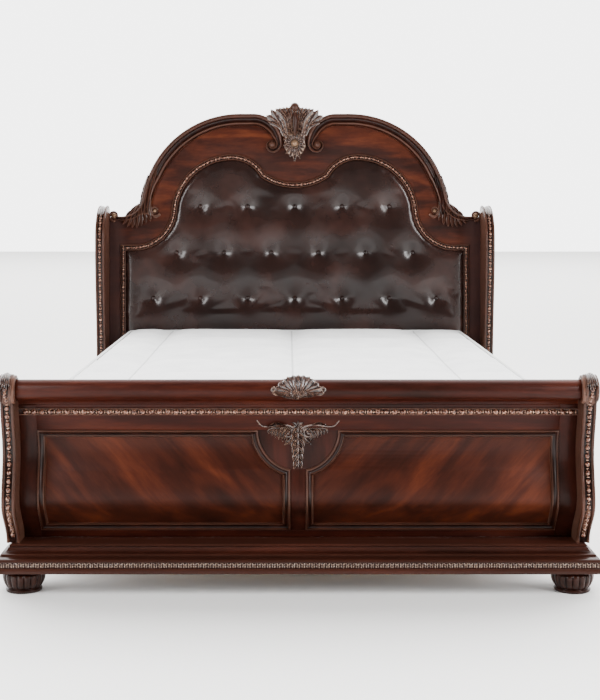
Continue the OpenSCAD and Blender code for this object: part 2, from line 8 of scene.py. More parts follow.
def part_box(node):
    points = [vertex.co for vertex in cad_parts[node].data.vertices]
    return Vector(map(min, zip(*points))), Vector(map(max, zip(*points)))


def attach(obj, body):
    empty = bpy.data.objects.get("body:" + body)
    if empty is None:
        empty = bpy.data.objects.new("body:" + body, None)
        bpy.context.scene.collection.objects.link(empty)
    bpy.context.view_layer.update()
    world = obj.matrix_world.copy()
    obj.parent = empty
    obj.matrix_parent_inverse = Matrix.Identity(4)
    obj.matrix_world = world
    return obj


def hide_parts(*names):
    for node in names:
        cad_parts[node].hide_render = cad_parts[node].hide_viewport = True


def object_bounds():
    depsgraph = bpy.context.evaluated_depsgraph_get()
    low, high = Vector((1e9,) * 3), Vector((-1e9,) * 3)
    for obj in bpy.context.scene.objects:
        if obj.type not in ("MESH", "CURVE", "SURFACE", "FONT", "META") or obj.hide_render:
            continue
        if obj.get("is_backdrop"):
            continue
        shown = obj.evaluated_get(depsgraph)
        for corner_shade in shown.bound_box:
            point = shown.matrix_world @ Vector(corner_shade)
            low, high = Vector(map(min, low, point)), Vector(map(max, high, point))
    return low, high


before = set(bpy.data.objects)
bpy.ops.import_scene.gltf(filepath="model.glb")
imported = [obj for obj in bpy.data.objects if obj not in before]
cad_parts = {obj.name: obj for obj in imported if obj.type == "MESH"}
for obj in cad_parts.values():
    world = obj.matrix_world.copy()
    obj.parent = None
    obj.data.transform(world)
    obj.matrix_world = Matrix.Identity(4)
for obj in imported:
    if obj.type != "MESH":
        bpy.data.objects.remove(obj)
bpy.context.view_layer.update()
scene = bpy.context.scene
MM = 0.001
SIDES = {"left": -1, "right": 1}


# ---- Camera ----
# A long lens at chest height in front of the footboard, three centimetres left of the middle. It looks
# level along the bed, and the lens shift drops the view so that upright edges stay upright.
foot_low, foot_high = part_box("footboard_post_left")
lens_distance = 4.143
camera_data = bpy.data.cameras.new("camera")
camera_data.lens = 70.77
camera_data.sensor_width = 36.0
camera_data.shift_x = 0.0171
camera_data.shift_y = -0.2071
camera = bpy.data.objects.new("camera", camera_data)
camera.location = (-0.0314, foot_low.y - lens_distance, 1.193)
camera.rotation_euler = (radians(90), 0, 0)
scene.collection.objects.link(camera)
scene.camera = camera


# ---- Shared wood finish ----
# The frame is a close-grained hardwood, stained dark cherry and lacquered to a satin sheen. Its mouldings
# are paler on the edges, as rub-through and painted highlight, and darker in the corners with painted shade,
# which is what makes the profiles read.
def linear(hex_colour):
    """An sRGB hex colour as the linear colour that a shader takes."""
    parts = [int(hex_colour[i:i + 2], 16) / 255 for i in (1, 3, 5)]
    return [c / 12.92 if c <= 0.04045 else ((c + 0.055) / 1.055) ** 2.4 for c in parts] + [1.0]


def add(nodes, kind, settings=None, **links):
    """Adds a node. settings sets its properties and, with a leading number or name, its inputs."""
    node = nodes.new(kind)
    for key, value in (settings or {}).items():
        if key in node.inputs.keys() or isinstance(key, int):
            node.inputs[key].default_value = value
        else:
            setattr(node, key, value)
    for key, source in links.items():
        name = int(key[1:]) if key[0] == "_" else key.replace("_", " ")
        node.id_data.links.new(source, node.inputs[name])
    return node


def ramp(nodes, factor, *stops):
    """A colour ramp through (place, hex colour) stops."""
    node = add(nodes, "ShaderNodeValToRGB", _0=factor)
    elements = node.color_ramp.elements
    while len(elements) < len(stops):
        elements.new(0.5)
    for element, (place, colour) in zip(elements, stops):
        element.position = place
        element.color = linear(colour)
    return node.outputs["Color"]


def new_material(name):
    material = bpy.data.materials.new(name)
    material.use_nodes = True
    return material, material.node_tree.nodes, material.node_tree.nodes["Principled BSDF"]


def object_position(nodes, turn=(0, 0, 0), stretch=(1, 1, 1)):
    """The place on the piece, turned and then stretched, so that a pattern runs long along a turned axis."""
    place = add(nodes, "ShaderNodeTexCoord")
    settings = {"vector_type": "TEXTURE", "Rotation": turn, "Scale": stretch}
    return add(nodes, "ShaderNodeMapping", settings, Vector=place.outputs["Object"]).outputs[0]


def stained_wood(name, dark, mid, light, turn=(0, 0, 0), fibre=(1, 1, 1), figure=14.0, gloss=0.38,
                 wear_and_highlight="#7d5444", wear_and_highlight_amount=0.55, coat=0.05):
    """Stained, lacquered hardwood: fibre is how many times longer the grain is along each axis."""
    material, nodes, shader = new_material(name)
    links = material.node_tree.links
    place = object_position(nodes, turn, fibre)
    broad = add(nodes, "ShaderNodeTexNoise", {"Scale": figure, "Detail": 3.0, "Distortion": 0.6},
                Vector=place)
    grain = add(nodes, "ShaderNodeTexNoise", {"Scale": figure * 9, "Detail": 4.0, "Roughness": 0.65},
                Vector=place)
    tone = add(nodes, "ShaderNodeMix", {"data_type": "FLOAT", 0: 0.32}, _2=broad.outputs[0],
               _3=grain.outputs[0])
    colour = ramp(nodes, tone.outputs[0], (0.34, dark), (0.5, mid), (0.66, light))
    # Pointiness is high on edges and low in corners: it places the rub-through with its painted highlight,
    # and the painted shade in the corners.
    edge = add(nodes, "ShaderNodeNewGeometry")
    # Partly rub-through, partly painted highlight: where pointiness is high, on edges, the colour is
    # lightened towards a paler brown.
    rubbed_and_highlit = add(nodes, "ShaderNodeMapRange", {"From Min": 0.515, "From Max": 0.60, "To Max": wear_and_highlight_amount},
                 Value=edge.outputs["Pointiness"])
    worn_and_highlit = add(nodes, "ShaderNodeMix", {"data_type": "RGBA", 7: linear(wear_and_highlight)}, _0=rubbed_and_highlit.outputs[0],
               _6=colour)
    # Painted shade: where pointiness is low, in corners and hollows, the colour is darkened towards #140907.
    corner_shade = add(nodes, "ShaderNodeMapRange", {"From Min": 0.49, "From Max": 0.42, "To Max": 0.75},
                 Value=edge.outputs["Pointiness"])
    corner_shaded = add(nodes, "ShaderNodeMix", {"data_type": "RGBA", 7: linear("#140907")}, _0=corner_shade.outputs[0],
                 _6=worn_and_highlit.outputs[2])
    links.new(corner_shaded.outputs[2], shader.inputs["Base Color"])
    sheen_break = add(nodes, "ShaderNodeMapRange", {"To Min": gloss - 0.06, "To Max": gloss + 0.10},
                      Value=grain.outputs[0])
    links.new(sheen_break.outputs[0], shader.inputs["Roughness"])
    bump = add(nodes, "ShaderNodeBump", {"Strength": 0.10, "Distance": 0.2 * MM}, Height=grain.outputs[0])
    links.new(bump.outputs[0], shader.inputs["Normal"])
    shader.inputs["Specular IOR Level"].default_value = 0.08
    shader.inputs["Coat Weight"].default_value = coat
    shader.inputs["Coat Roughness"].default_value = 0.2
    return material


# Long rails have their grain across the bed, posts and stiles have it upright.
cherry_across = stained_wood("stained_cherry_across", "#1f0b06", "#30110a", "#431b0f", fibre=(8, 1, 1),
                             wear_and_highlight_amount=0)
cherry_upright = stained_wood("stained_cherry_upright", "#1a0a06", "#28100a", "#37160e", fibre=(1, 1, 8),
                              wear_and_highlight_amount=0)


# ---- Footboard frame ----
# The rails, stiles, cove and backboard are boards band-sawn to one S-shaped profile and glued up flush.
# Their arrises are broken by hand, and the lacquer goes over the whole frame after assembly.
def finish_board(node, material, arris=1.2 * MM):
    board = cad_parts[node]
    board.data.materials.clear()
    board.data.materials.append(material)
    weld = board.modifiers.new("joined", "WELD")
    weld.merge_threshold = 0.01 * MM
    bevel = board.modifiers.new("broken_arris", "BEVEL")
    bevel.width = arris
    bevel.segments = 2
    bevel.limit_method = "ANGLE"
    bevel.angle_limit = radians(40)
    bevel.harden_normals = True
    board.data.shade_smooth()


for node in ("footboard_cove", "footboard_upper_rail", "footboard_lower_rail", "footboard_roll"):
    finish_board(node, cherry_across)
for node in ("footboard_stile_left", "footboard_stile_right"):
    finish_board(node, cherry_upright)
finish_board("footboard_centre_stile", cherry_upright, 0.3 * MM)

# The S-shaped profile: how far the front lies behind the line of the posts' waist, at height z.
foot_y = foot_low.y + 76 * MM
scroll_r = 46 * MM
scroll_in = 6 * MM
scroll_centre = Vector((foot_y - 30 * MM, foot_high.z - scroll_r))
plinth_top = foot_low.z
neck_z = scroll_centre.y - 28 * MM
post_rise = neck_z - plinth_top
S_KEYS = [(plinth_top, 60 * MM), (plinth_top + 0.3 * post_rise, -24 * MM),
          (plinth_top + 0.61 * post_rise, -4 * MM), (neck_z, -42 * MM)]
panel_proud = 80 * MM


def s_curve(z):
    if z <= S_KEYS[0][0]:
        return S_KEYS[0][1]
    for (z0, y0), (z1, y1) in zip(S_KEYS, S_KEYS[1:]):
        if z <= z1:
            return y0 + (y1 - y0) * (1 - cos(pi * (z - z0) / (z1 - z0))) / 2
    return S_KEYS[-1][1]


def on_footboard(point, height):
    """The point (x, z) on the face of the footboard's frame, raised by height."""
    return Vector((point[0], foot_y + panel_proud + s_curve(point[1]) - height, point[1]))


# ---- Footboard fields ----
# Two sunk panels of mahogany veneer, cut so that the ribbon figure slopes down towards the middle like a
# chevron. Each is book-matched to the other, with broad dark and red ribbons and fine streaks in them.
def veneer(name, turn, stretch, stops, ribbon=12.0, gloss=0.42):
    material, nodes, shader = new_material(name)
    links = material.node_tree.links
    place = object_position(nodes, turn, stretch)
    ribbons = add(nodes, "ShaderNodeTexNoise", {"Scale": ribbon, "Detail": 2.0, "Distortion": 0.9},
                  Vector=place)
    streaks = add(nodes, "ShaderNodeTexNoise", {"Scale": ribbon * 7, "Detail": 5.0, "Roughness": 0.7},
                  Vector=place)
    tone = add(nodes, "ShaderNodeMix", {"data_type": "FLOAT", 0: 0.30}, _2=ribbons.outputs[0],
               _3=streaks.outputs[0])
    colour = ramp(nodes, tone.outputs[0], *stops)
    links.new(colour, shader.inputs["Base Color"])
    dull = add(nodes, "ShaderNodeMapRange", {"To Min": gloss - 0.05, "To Max": gloss + 0.12},
               Value=streaks.outputs[0])
    links.new(dull.outputs[0], shader.inputs["Roughness"])
    bump = add(nodes, "ShaderNodeBump", {"Strength": 0.08, "Distance": 0.2 * MM}, Height=streaks.outputs[0])
    links.new(bump.outputs[0], shader.inputs["Normal"])
    shader.inputs["Specular IOR Level"].default_value = 0.08
    shader.inputs["Coat Weight"].default_value = 0.04
    shader.inputs["Coat Roughness"].default_value = 0.25
    return material


ribbon_stops = ((0.30, "#220e08"), (0.44, "#2e130b"), (0.54, "#3b190e"), (0.68, "#4e2313"))
for side, s in SIDES.items():
    finish_board("footboard_field_" + side,
                 veneer("mahogany_veneer_" + side, (0, s * radians(42), 0), (1, 1, 7), ribbon_stops))


# ---- Mouldings round the fields ----
# A run moulding frames each field: a bead against the rail, a cove, and a small step down to the veneer.
# It is planted in the rebate, mitred at the corners, and follows the bowl of the centre stile.
def arc(centre, radius, start, end, count):
    """Points along an arc, from angle start to end in degrees."""
    angles = [radians(start + (end - start) * i / count) for i in range(count + 1)]
    return [Vector((centre[0] + radius * cos(a), centre[1] + radius * sin(a))) for a in angles]


def divided(path, step):
    """The same path with long stretches cut into steps, so that it can follow a curved face."""
    points = [path[0]]
    for a, b in zip(path, path[1:]):
        count = max(1, round((b - a).length / step))
        points += [a.lerp(b, i / count) for i in range(1, count + 1)]
    return points


def mitred(path, closed=False):
    """Each point of the path with its left-hand normal, lengthened where the path turns."""
    result = []
    for i, point in enumerate(path):
        before = path[i - 1] if i or closed else None
        after = path[(i + 1) % len(path)] if i + 1 < len(path) or closed else None
        pairs = ((before, point), (point, after))
        ways = [(b - a).normalized() for a, b in pairs if a is not None and b is not None]
        normals = [Vector((-w.y, w.x)) for w in ways]
        normal = (normals[0] + normals[-1]).normalized()
        result.append((point, normal / max(0.4, normal.dot(normals[0]))))
    return result


def skin(bm, rings, closed=False):
    """Draws the first ring and extrudes it from ring to ring. The ends are capped, or joined if closed."""
    ring = [bm.verts.new(p) for p in rings[0]]
    edges = [bm.edges.new((a, b)) for a, b in zip(ring, ring[1:] + ring[:1])]
    first_ring, first_edges = ring, edges
    for places in rings[1:]:
        made = bmesh.ops.extrude_edge_only(bm, edges=edges)["geom"]
        new = {v for v in made if isinstance(v, bmesh.types.BMVert)}
        ring = [next(e.other_vert(v) for e in v.link_edges if e.other_vert(v) in new) for v in ring]
        for vert, place in zip(ring, places):
            vert.co = place
        edges = [bm.edges.get((a, b)) for a, b in zip(ring, ring[1:] + ring[:1])]
    if closed:
        bmesh.ops.bridge_loops(bm, edges=edges + first_edges)
    else:
        bm.faces.new(first_ring)
        bm.faces.new(ring[::-1])


def moulding(bm, path, profile, place, closed=False):
    """Runs a profile of (inwards, raised) points along a path, with place() putting each one in space."""
    skin(bm, [[place(p + n * u, v) for u, v in profile] for p, n in mitred(path, closed)], closed)


def piece(name, bm, material, body, replaced=(), crease=38):
    """Closes off a finished shape as a piece of the bed."""
    bmesh.ops.recalc_face_normals(bm, faces=bm.faces)
    for face in bm.faces:
        face.smooth = True
    for edge in bm.edges:
        edge.smooth = edge.calc_face_angle(0) < radians(crease)
    mesh = bpy.data.meshes.new(name)
    bm.to_mesh(mesh)
    bm.free()
    mesh.materials.append(material)
    made = bpy.data.objects.new(name, mesh)
    scene.collection.objects.link(made)
    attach(made, body)
    if replaced:
        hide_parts(*replaced)
    return made


def in_mm(*points):
    return [Vector(p) * MM for p in points]


moulded_cherry = stained_wood("moulded_cherry", "#140704", "#220d07", "#30130b", wear_and_highlight="#805a4a",
                              wear_and_highlight_amount=0.4, gloss=0.30, coat=0.25)
field_low, field_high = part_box("footboard_field_right")
bowl_r = 125 * MM
field_profile = in_mm((0, -12), (0, 1), (1, 3.5), (3.5, 4.5), (6, 3.5), (7, 1), (8.5, -1.5), (12, -4),
                      (16, -5), (17.5, -3.5), (20, -3.5), (21.5, -6), (23, -9), (24, -12))
for side, s in SIDES.items():
    stem_angle = degrees(asin(field_low.x / bowl_r))
    outline = [Vector((field_low.x, field_low.z)), Vector((field_high.x, field_low.z)),
               Vector((field_high.x, field_high.z)), Vector((bowl_r, field_high.z))]
    outline = divided(outline, 20 * MM) + arc((0, field_high.z), bowl_r, 0, stem_angle - 90, 24)[1:]
    outline += divided([outline[-1], outline[0]], 20 * MM)[1:-1]
    bm = bmesh.new()
    moulding(bm, outline, field_profile, lambda p, h: on_footboard((s * p.x, p.y), h), closed=True)
    piece("field_moulding_" + side, bm, moulded_cherry, "bed", ["footboard_moulding_" + side])


# ---- Footboard posts ----
# Each post is a thick S-shaped board with a moulding run up its front: two rounded ridges with a channel
# between them for the beads. At the top the moulding rolls over a scroll, under a carved leaf.
def side_rings(path, profile):
    """Rings of a profile of (x, out) points run along a path of (y, z) points, out to the path's left."""
    return [[Vector((x, *(p + n * out))) for x, out in profile] for p, n in mitred(path)]


def slab(bm, outline, x0, x1):
    """A board whose outline lies in the YZ plane, between x0 and x1."""
    face = bm.faces.new([bm.verts.new((x0, y, z)) for y, z in outline])
    made = bmesh.ops.extrude_face_region(bm, geom=[face])["geom"]
    bmesh.ops.translate(bm, verts=[v for v in made if isinstance(v, bmesh.types.BMVert)], vec=(x1 - x0, 0, 0))


def stamp(bm, pattern, matrix):
    """Adds a copy of a small mesh to a shape."""
    pattern.transform(matrix)
    bm.from_mesh(pattern)
    pattern.transform(matrix.inverted())


def merge(bm, part, matrix=Matrix()):
    """Adds a finished part to a shape and frees the part."""
    mesh = bpy.data.meshes.new("part")
    part.to_mesh(mesh)
    part.free()
    stamp(bm, mesh, matrix)
    bpy.data.meshes.remove(mesh)


def turned(profile, steps=32):
    """A shape turned about the Z axis, from a profile of (radius, height) points."""
    own = bmesh.new()
    verts = [own.verts.new((r, 0, h)) for r, h in profile]
    edges = [own.edges.new(pair) for pair in zip(verts, verts[1:])]
    bmesh.ops.spin(own, geom=verts + edges, cent=(0, 0, 0), axis=(0, 0, 1), angle=tau, steps=steps,
                   use_merge=True)
    bmesh.ops.remove_doubles(own, verts=own.verts, dist=1e-6)
    bmesh.ops.recalc_face_normals(own, faces=own.faces)
    return own


def turned_boss(bm, centre, axis, profile):
    """A boss turned about an axis through centre."""
    turn = Vector((0, 0, 1)).rotation_difference(Vector(axis)).to_matrix().to_4x4()
    merge(bm, turned(profile), Matrix.Translation(centre) @ turn)


post_inner = 866 * MM
post_outer = -foot_low.x
post_middle = (post_inner + post_outer) / 2
ridge = 8 * MM
ribbon_profile = in_mm((-20.5, -10), (-20.5, -3), (-19, -0.8), (-16.5, 0), (-13, -0.6), (-10.6, -3),
                       (-10, -7), (10, -7), (10.6, -3), (13, -0.6), (16.5, 0), (19, -0.8), (20.5, -3),
                       (20.5, -10))
foot_front = [Vector((foot_y + s_curve(z), z)) for z in
              [plinth_top + (neck_z - plinth_top) * i / 40 for i in range(41)]]
scroll_turn = arc(scroll_centre, scroll_r, 196, -30, 36)
foot_ribbon = foot_front[:-1] + scroll_turn
post_deep = 125 * MM
foot_back = [p + Vector((post_deep, 0)) for p in foot_front]
scroll_face = in_mm((0, 3), (7, 3), (9, 1), (11, 0), (14, 2), (18, 3), (23, 3), (27, 1), (29, 0), (33, 2.5),
                    (37, 3), (40, 0), (40, -3))
scroll_hub = in_mm((0, 0), (43, 0), (43, 10), (0, 10))
for side, s in SIDES.items():
    bm = bmesh.new()
    inset = [p + Vector((ridge, 0)) for p in foot_front[:-2]]
    shoulder = foot_back[-1] + Vector((-10, 14)) * MM
    core = inset + arc(scroll_centre, scroll_r - ridge, 190, 20, 24) + [shoulder]
    slab(bm, core + foot_back[::-1], s * post_inner, s * post_outer)
    skin(bm, side_rings(foot_ribbon, [Vector((s * post_middle + v.x, v.y)) for v in ribbon_profile]))
    for x, way in ((post_outer, 1), (post_inner - scroll_in, -1)):
        turned_boss(bm, (s * x, *scroll_centre), (s * way, 0, 0), scroll_face)
    turned_boss(bm, (s * (post_inner - scroll_in), *scroll_centre), (s, 0, 0), scroll_hub)
    piece("footboard_post_shaped_" + side, bm, moulded_cherry, "bed",
          ["footboard_post_" + side])


# ---- Beads on the footboard ----
# Turned beads with a small reel between each two, glued into their channels as ready-made strips. Their
# crowns carry a pale painted highlight and the gaps between them a dark painted shade.
beads_painted_light, nodes, shader = new_material("beads_painted_highlight_and_shade")
crown = add(nodes, "ShaderNodeNewGeometry")
mottle = add(nodes, "ShaderNodeTexNoise", {"Scale": 180.0, "Detail": 3.0}, Vector=object_position(nodes))
raised = add(nodes, "ShaderNodeMix", {"data_type": "FLOAT", 0: 0.35}, _2=crown.outputs["Pointiness"],
             _3=mottle.outputs[0])
# Painted highlight and shade: where pointiness is high, on the beads' crowns, the colour is pale; in the gaps
# it is near black.
bead_shade_and_highlight = ramp(nodes, raised.outputs[0], (0.46, "#120604"), (0.51, "#38190f"), (0.56, "#7c5140"),
                 (0.64, "#c6a48c"))
beads_painted_light.node_tree.links.new(bead_shade_and_highlight, shader.inputs["Base Color"])
shader.inputs["Roughness"].default_value = 0.24
shader.inputs["Metallic"].default_value = 0.25
shader.inputs["Coat Weight"].default_value = 0.3
bead_pitch = 26 * MM


def spaced(path, pitch, closed=False):
    """Points every pitch along a path, evened out to fit it, each with the way the path runs there."""
    points = path + path[:1] if closed else path
    lengths = [(b - a).length for a, b in zip(points, points[1:])]
    count = max(1, round(sum(lengths) / pitch))
    step, result, at, i = sum(lengths) / count, [], 0.0, 0
    for k in range(count):
        target = (k + 0.5) * step
        while at + lengths[i] < target:
            at += lengths[i]
            i += 1
        way = (points[i + 1] - points[i]).normalized()
        result.append((points[i] + way * (target - at), way))
    return result


def bead_string(bm, path, radius, pitch, closed=False, length=1.15):
    """Beads strung along a path of 3-D points, longer than they are wide, with a reel between each two."""
    own = bmesh.new()
    drawn_out = Matrix.Diagonal((1, 1, length, 1))
    bmesh.ops.create_uvsphere(own, u_segments=12, v_segments=8, radius=radius, matrix=drawn_out)
    bmesh.ops.create_cone(own, cap_ends=True, segments=10, radius1=radius * 0.62, radius2=radius * 0.62,
                          depth=radius * 0.35, matrix=Matrix.Translation((0, 0, pitch / 2)))
    bead = bpy.data.meshes.new("bead")
    own.to_mesh(bead)
    own.free()
    for centre, way in spaced(path, pitch, closed):
        turn = Vector((0, 0, 1)).rotation_difference(way).to_matrix().to_4x4()
        stamp(bm, bead, Matrix.Translation(centre) @ turn)
    bpy.data.meshes.remove(bead)


for side, s in SIDES.items():
    bm = bmesh.new()
    channel = foot_front[1:-1] + arc(scroll_centre, scroll_r, 190, 120, 12)
    line = [Vector((s * post_middle, *(p + n * -4.5 * MM))) for p, n in mitred(channel)]
    bead_string(bm, line, 7.2 * MM, bead_pitch)
    piece("footboard_post_bead_string_" + side, bm, beads_painted_light, "bed",
          ["footboard_post_beads_" + side], crease=60)

strip_low, strip_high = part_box("footboard_bead_strip")
strip_z = (strip_low.z + strip_high.z) / 2
bm = bmesh.new()
bead_string(bm, [on_footboard((x, strip_z), 3 * MM) for x in (-post_inner + 8 * MM, post_inner - 8 * MM)],
            9.6 * MM, bead_pitch, length=1.08)
piece("footboard_bead_string", bm, beads_painted_light, "bed", crease=60)
bm = bmesh.new()
bed_profile = in_mm((-11, -2), (-11, 3), (-10, 4.5), (-8.5, 4.5), (-7.5, 3), (-7, 0.5), (7, 0.5), (7.5, 3),
                    (8.5, 4.5), (10, 4.5), (11, 3), (11, -2))
moulding(bm, [Vector((-post_inner, strip_z)), Vector((post_inner, strip_z))], bed_profile, on_footboard)
piece("footboard_bead_bed", bm, moulded_cherry, "bed", ["footboard_bead_strip"])


# ---- Plinth ----
# The footboard stands on a two-step base moulding, mitred round three sides: an ogee over a deeper board
# with a band of carved leaves along it. Plain blocks behind carry the mouldings.
plinth_low, plinth_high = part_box("plinth_lower")
step_low, step_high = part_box("plinth_upper")


def block(bm, low, high, arris=2 * MM):
    made = bmesh.ops.create_cube(bm, size=1)["verts"]
    middle, size = (low + high) / 2, high - low
    bmesh.ops.transform(bm, verts=made, matrix=Matrix.Translation(middle) @ Matrix.Diagonal((*size, 1)))
    edges = {e for v in made for e in v.link_edges}
    bmesh.ops.bevel(bm, geom=list(edges), offset=arris, segments=2, profile=0.5, affect="EDGES", material=-1)


def three_sides(low, high):
    """The corners of a base block: along one end, across the front and back along the other end."""
    return [Vector((high.x, high.y)), Vector((high.x, low.y)), Vector((low.x, low.y)),
            Vector((low.x, high.y))]


def plinth_moulding(bm, low, high, profile):
    """Runs a moulding round three sides of a base block."""
    proud = max(v.x for v in profile)
    path = mitred(three_sides(low, high))
    skin(bm, [[Vector((*(p + n * (v.x - proud)), low.z + v.y)) for v in profile] for p, n in path])


plinth_cherry = stained_wood("stained_plinth", "#1a0906", "#28100a", "#381810", fibre=(8, 1, 1),
                             wear_and_highlight="#6b4436", wear_and_highlight_amount=0.12, gloss=0.30, coat=0.12)
step_profile = in_mm((-60, 0), (22, 0), (22, 4), (20, 6), (14, 7), (8, 10), (4, 15), (1.5, 20), (1.5, 22),
                     (-3, 22.5), (-3.5, 25), (-2, 26), (-1.5, 28.5), (-4, 31), (-60, 31))
board_profile = in_mm((-60, 0), (-2, 0), (0, 2), (0, 15), (-1.5, 17), (-5, 18), (-5, 35), (-1.5, 36),
                      (-1.5, 38), (-4, 41), (-9, 44), (-14, 45), (-60, 45))
deep = 40 * MM
inset = Vector((deep, deep, 0))
for name, low, high, profile in (("plinth_step_moulded", step_low, step_high, step_profile),
                                 ("plinth_board_moulded", plinth_low, plinth_high, board_profile)):
    bm = bmesh.new()
    plinth_moulding(bm, low, high, profile)
    block(bm, low + inset, high - Vector((deep, 0, 0.2 * MM)))
    node = "plinth_upper" if "step" in name else "plinth_lower"
    piece(name, bm, plinth_cherry, "bed", [node])


# ---- Carving ----
# Leaf carving is cut from the same wood and planted on. A leaf is a tapering, crowned blade with a lobed
# edge and veins, cupped at the tip; painted shade in the hollows and painted highlight on the crests show its
# cuts.
carved_wood, nodes, shader = new_material("carving_painted_shade_and_highlight")
cuts = add(nodes, "ShaderNodeNewGeometry")
speckle = add(nodes, "ShaderNodeTexNoise", {"Scale": 130.0, "Detail": 4.0}, Vector=object_position(nodes))
depth = add(nodes, "ShaderNodeMix", {"data_type": "FLOAT", 0: 0.22}, _2=cuts.outputs["Pointiness"],
            _3=speckle.outputs[0])
# Painted shade and highlight: low pointiness in the hollows is painted near black, high pointiness on the
# crests pale.
painted_shade_and_highlight = ramp(nodes, depth.outputs[0], (0.44, "#0e0604"), (0.50, "#24130d"), (0.55, "#4a3127"),
                (0.62, "#927a69"))
carved_wood.node_tree.links.new(painted_shade_and_highlight, shader.inputs["Base Color"])
shader.inputs["Roughness"].default_value = 0.26
shader.inputs["Specular IOR Level"].default_value = 0.7
shader.inputs["Coat Weight"].default_value = 0.5
shader.inputs["Coat Roughness"].default_value = 0.15


def bent(points, count):
    """A smooth path through a few points, as count + 1 evenly named points."""
    ends = [points[0] * 2 - points[1], *points, points[-1] * 2 - points[-2]]
    result = []
    for k in range(count + 1):
        at = k / count * (len(points) - 1)
        i = min(int(at), len(points) - 2)
        t = at - i
        a, b, c, d = ends[i:i + 4]
        result.append(0.5 * (2 * b + (c - a) * t + (2 * a - 5 * b + 4 * c - d) * t * t
                             + (3 * b - a - 3 * c + d) * t ** 3))
    return result


def leaf(bm, spine, width, crown, place, lobes=4, tip=0.0, veins=2, thickness=2.2 * MM, base=0.35, full=0.45):
    """A carved blade along a spine of few (x, z) points. base is its width at the root as a share of width,
    full is how far along it is widest, and tip is how high its end curls."""
    long, half = 7 * max(3, lobes), 4
    line = mitred(bent(spine, long))
    own = bmesh.new()
    for vert in bmesh.ops.create_grid(own, x_segments=long, y_segments=2 * half, size=0.5)["verts"]:
        s, t = vert.co.x + 0.5, vert.co.y * 2
        point, normal = line[min(long, round(s * long))]
        if s < full:
            swell = base + (1 - base) * sin(pi / 2 * s / full)
        else:
            swell = cos(pi / 2 * (s - full) / (1 - full)) ** 0.75
        notch = 1 - 0.26 * (1 - abs(sin(pi * lobes * s)) ** 0.5) * min(1, 6 * s) * (0.3 + 0.7 * abs(t))
        across = point + normal * t * width / 2 * swell * notch
        ridged = 0.80 + 0.20 * cos(tau * veins * t) if veins else 1.0
        bulge = 0.35 + 0.65 * sin(pi * min(1, s * 0.9 + 0.1)) ** 0.5
        height = crown * (1 - 0.75 * t * t) * ridged * bulge
        vert.co = place(across, height + tip * s ** 3)
    bmesh.ops.recalc_face_normals(own, faces=own.faces)
    bmesh.ops.solidify(own, geom=own.faces[:], thickness=thickness)
    merge(bm, own)


def scroll_rod(bm, points, start, end, place, count=28, sides=8, flat=0.8):
    """A tapering rod laid on a face along a smooth path: the stems and volutes of the scrollwork."""
    line = mitred(bent(points, count))
    rings = []
    for i, (p, n) in enumerate(line):
        r = start + (end - start) * i / count
        n = n.normalized()
        ring = [(cos(tau * k / sides), sin(tau * k / sides)) for k in range(sides)]
        rings.append([place(p + n * r * a, r * flat * (b + 0.45)) for a, b in ring])
    own = bmesh.new()
    skin(own, rings)
    merge(bm, own)


def volute(bm, centre, radius, start, turns, thick, place, way=1, eye=0.36, count=40):
    """A scroll that winds in from radius to its eye, with a domed eye in the middle."""
    points = []
    for i in range(count + 1):
        t = i / count
        a = radians(start) + way * turns * tau * t
        r = radius * (1 - (1 - eye) * t)
        points.append(Vector((centre[0] + r * cos(a), centre[1] + r * sin(a))))
    scroll_rod(bm, points, thick, thick * 0.55, place, count=count)
    dome(bm, centre, radius * eye * 1.05, radius * eye, place)


def dome(bm, centre, radius, height, place, rings=5, sides=16):
    """A domed button on a face."""
    own = bmesh.new()
    for vert in bmesh.ops.create_uvsphere(own, u_segments=sides, v_segments=2 * rings, radius=1)["verts"]:
        vert.co = place(Vector((centre[0] + radius * vert.co.x, centre[1] + radius * vert.co.y)),
                        height * vert.co.z)
    merge(bm, own)


def mirrored_point(s, place):
    return lambda p, h: place(Vector((s * p.x, p.y)), h)


# ---- Carved band on the plinth ----
# Small leaves lean along the board in pairs, as a repeated pattern cut into the band.
band_z = plinth_low.z + 26.5 * MM
leaf_pitch = 15 * MM


def band_leaves(bm, start, end):
    """Pairs of leaves in the band along one face of the board, from start to end, which are (x, y) points."""
    way = (end - start).normalized()
    axes = Vector((way.x, way.y, 0)), Vector((-way.y, way.x, 0)), Vector((0, 0, 1))
    basis = Matrix(axes).transposed().to_4x4()
    count = round((end - start).length / leaf_pitch)
    for k in range(count):
        stamp(bm, band_leaf, Matrix.Translation((*start.lerp(end, (k + 0.5) / count), band_z)) @ basis)


own = bmesh.new()
for up in (-1, 1):
    for lean in (-1, 1):
        turn = Matrix.Rotation(lean * radians(24 + 14 * up), 4, "Y")
        shape = Matrix.Translation((lean * 3.4 * MM, 0, up * 3.6 * MM)) @ turn
        bmesh.ops.create_uvsphere(own, u_segments=7, v_segments=5, radius=1,
                                  matrix=shape @ Matrix.Diagonal((2.3 * MM, 2.8 * MM, 4.6 * MM, 1)))
band_leaf = bpy.data.meshes.new("band_leaf")
own.to_mesh(band_leaf)
own.free()
bm = bmesh.new()
recess = 4.5 * MM
corners = three_sides(plinth_low + Vector((recess, recess, 0)), plinth_high - Vector((recess, 0, 0)))
for start, end in zip(corners, corners[1:]):
    band_leaves(bm, start, end)
piece("plinth_leaf_band", bm, carved_wood, "bed", crease=60)


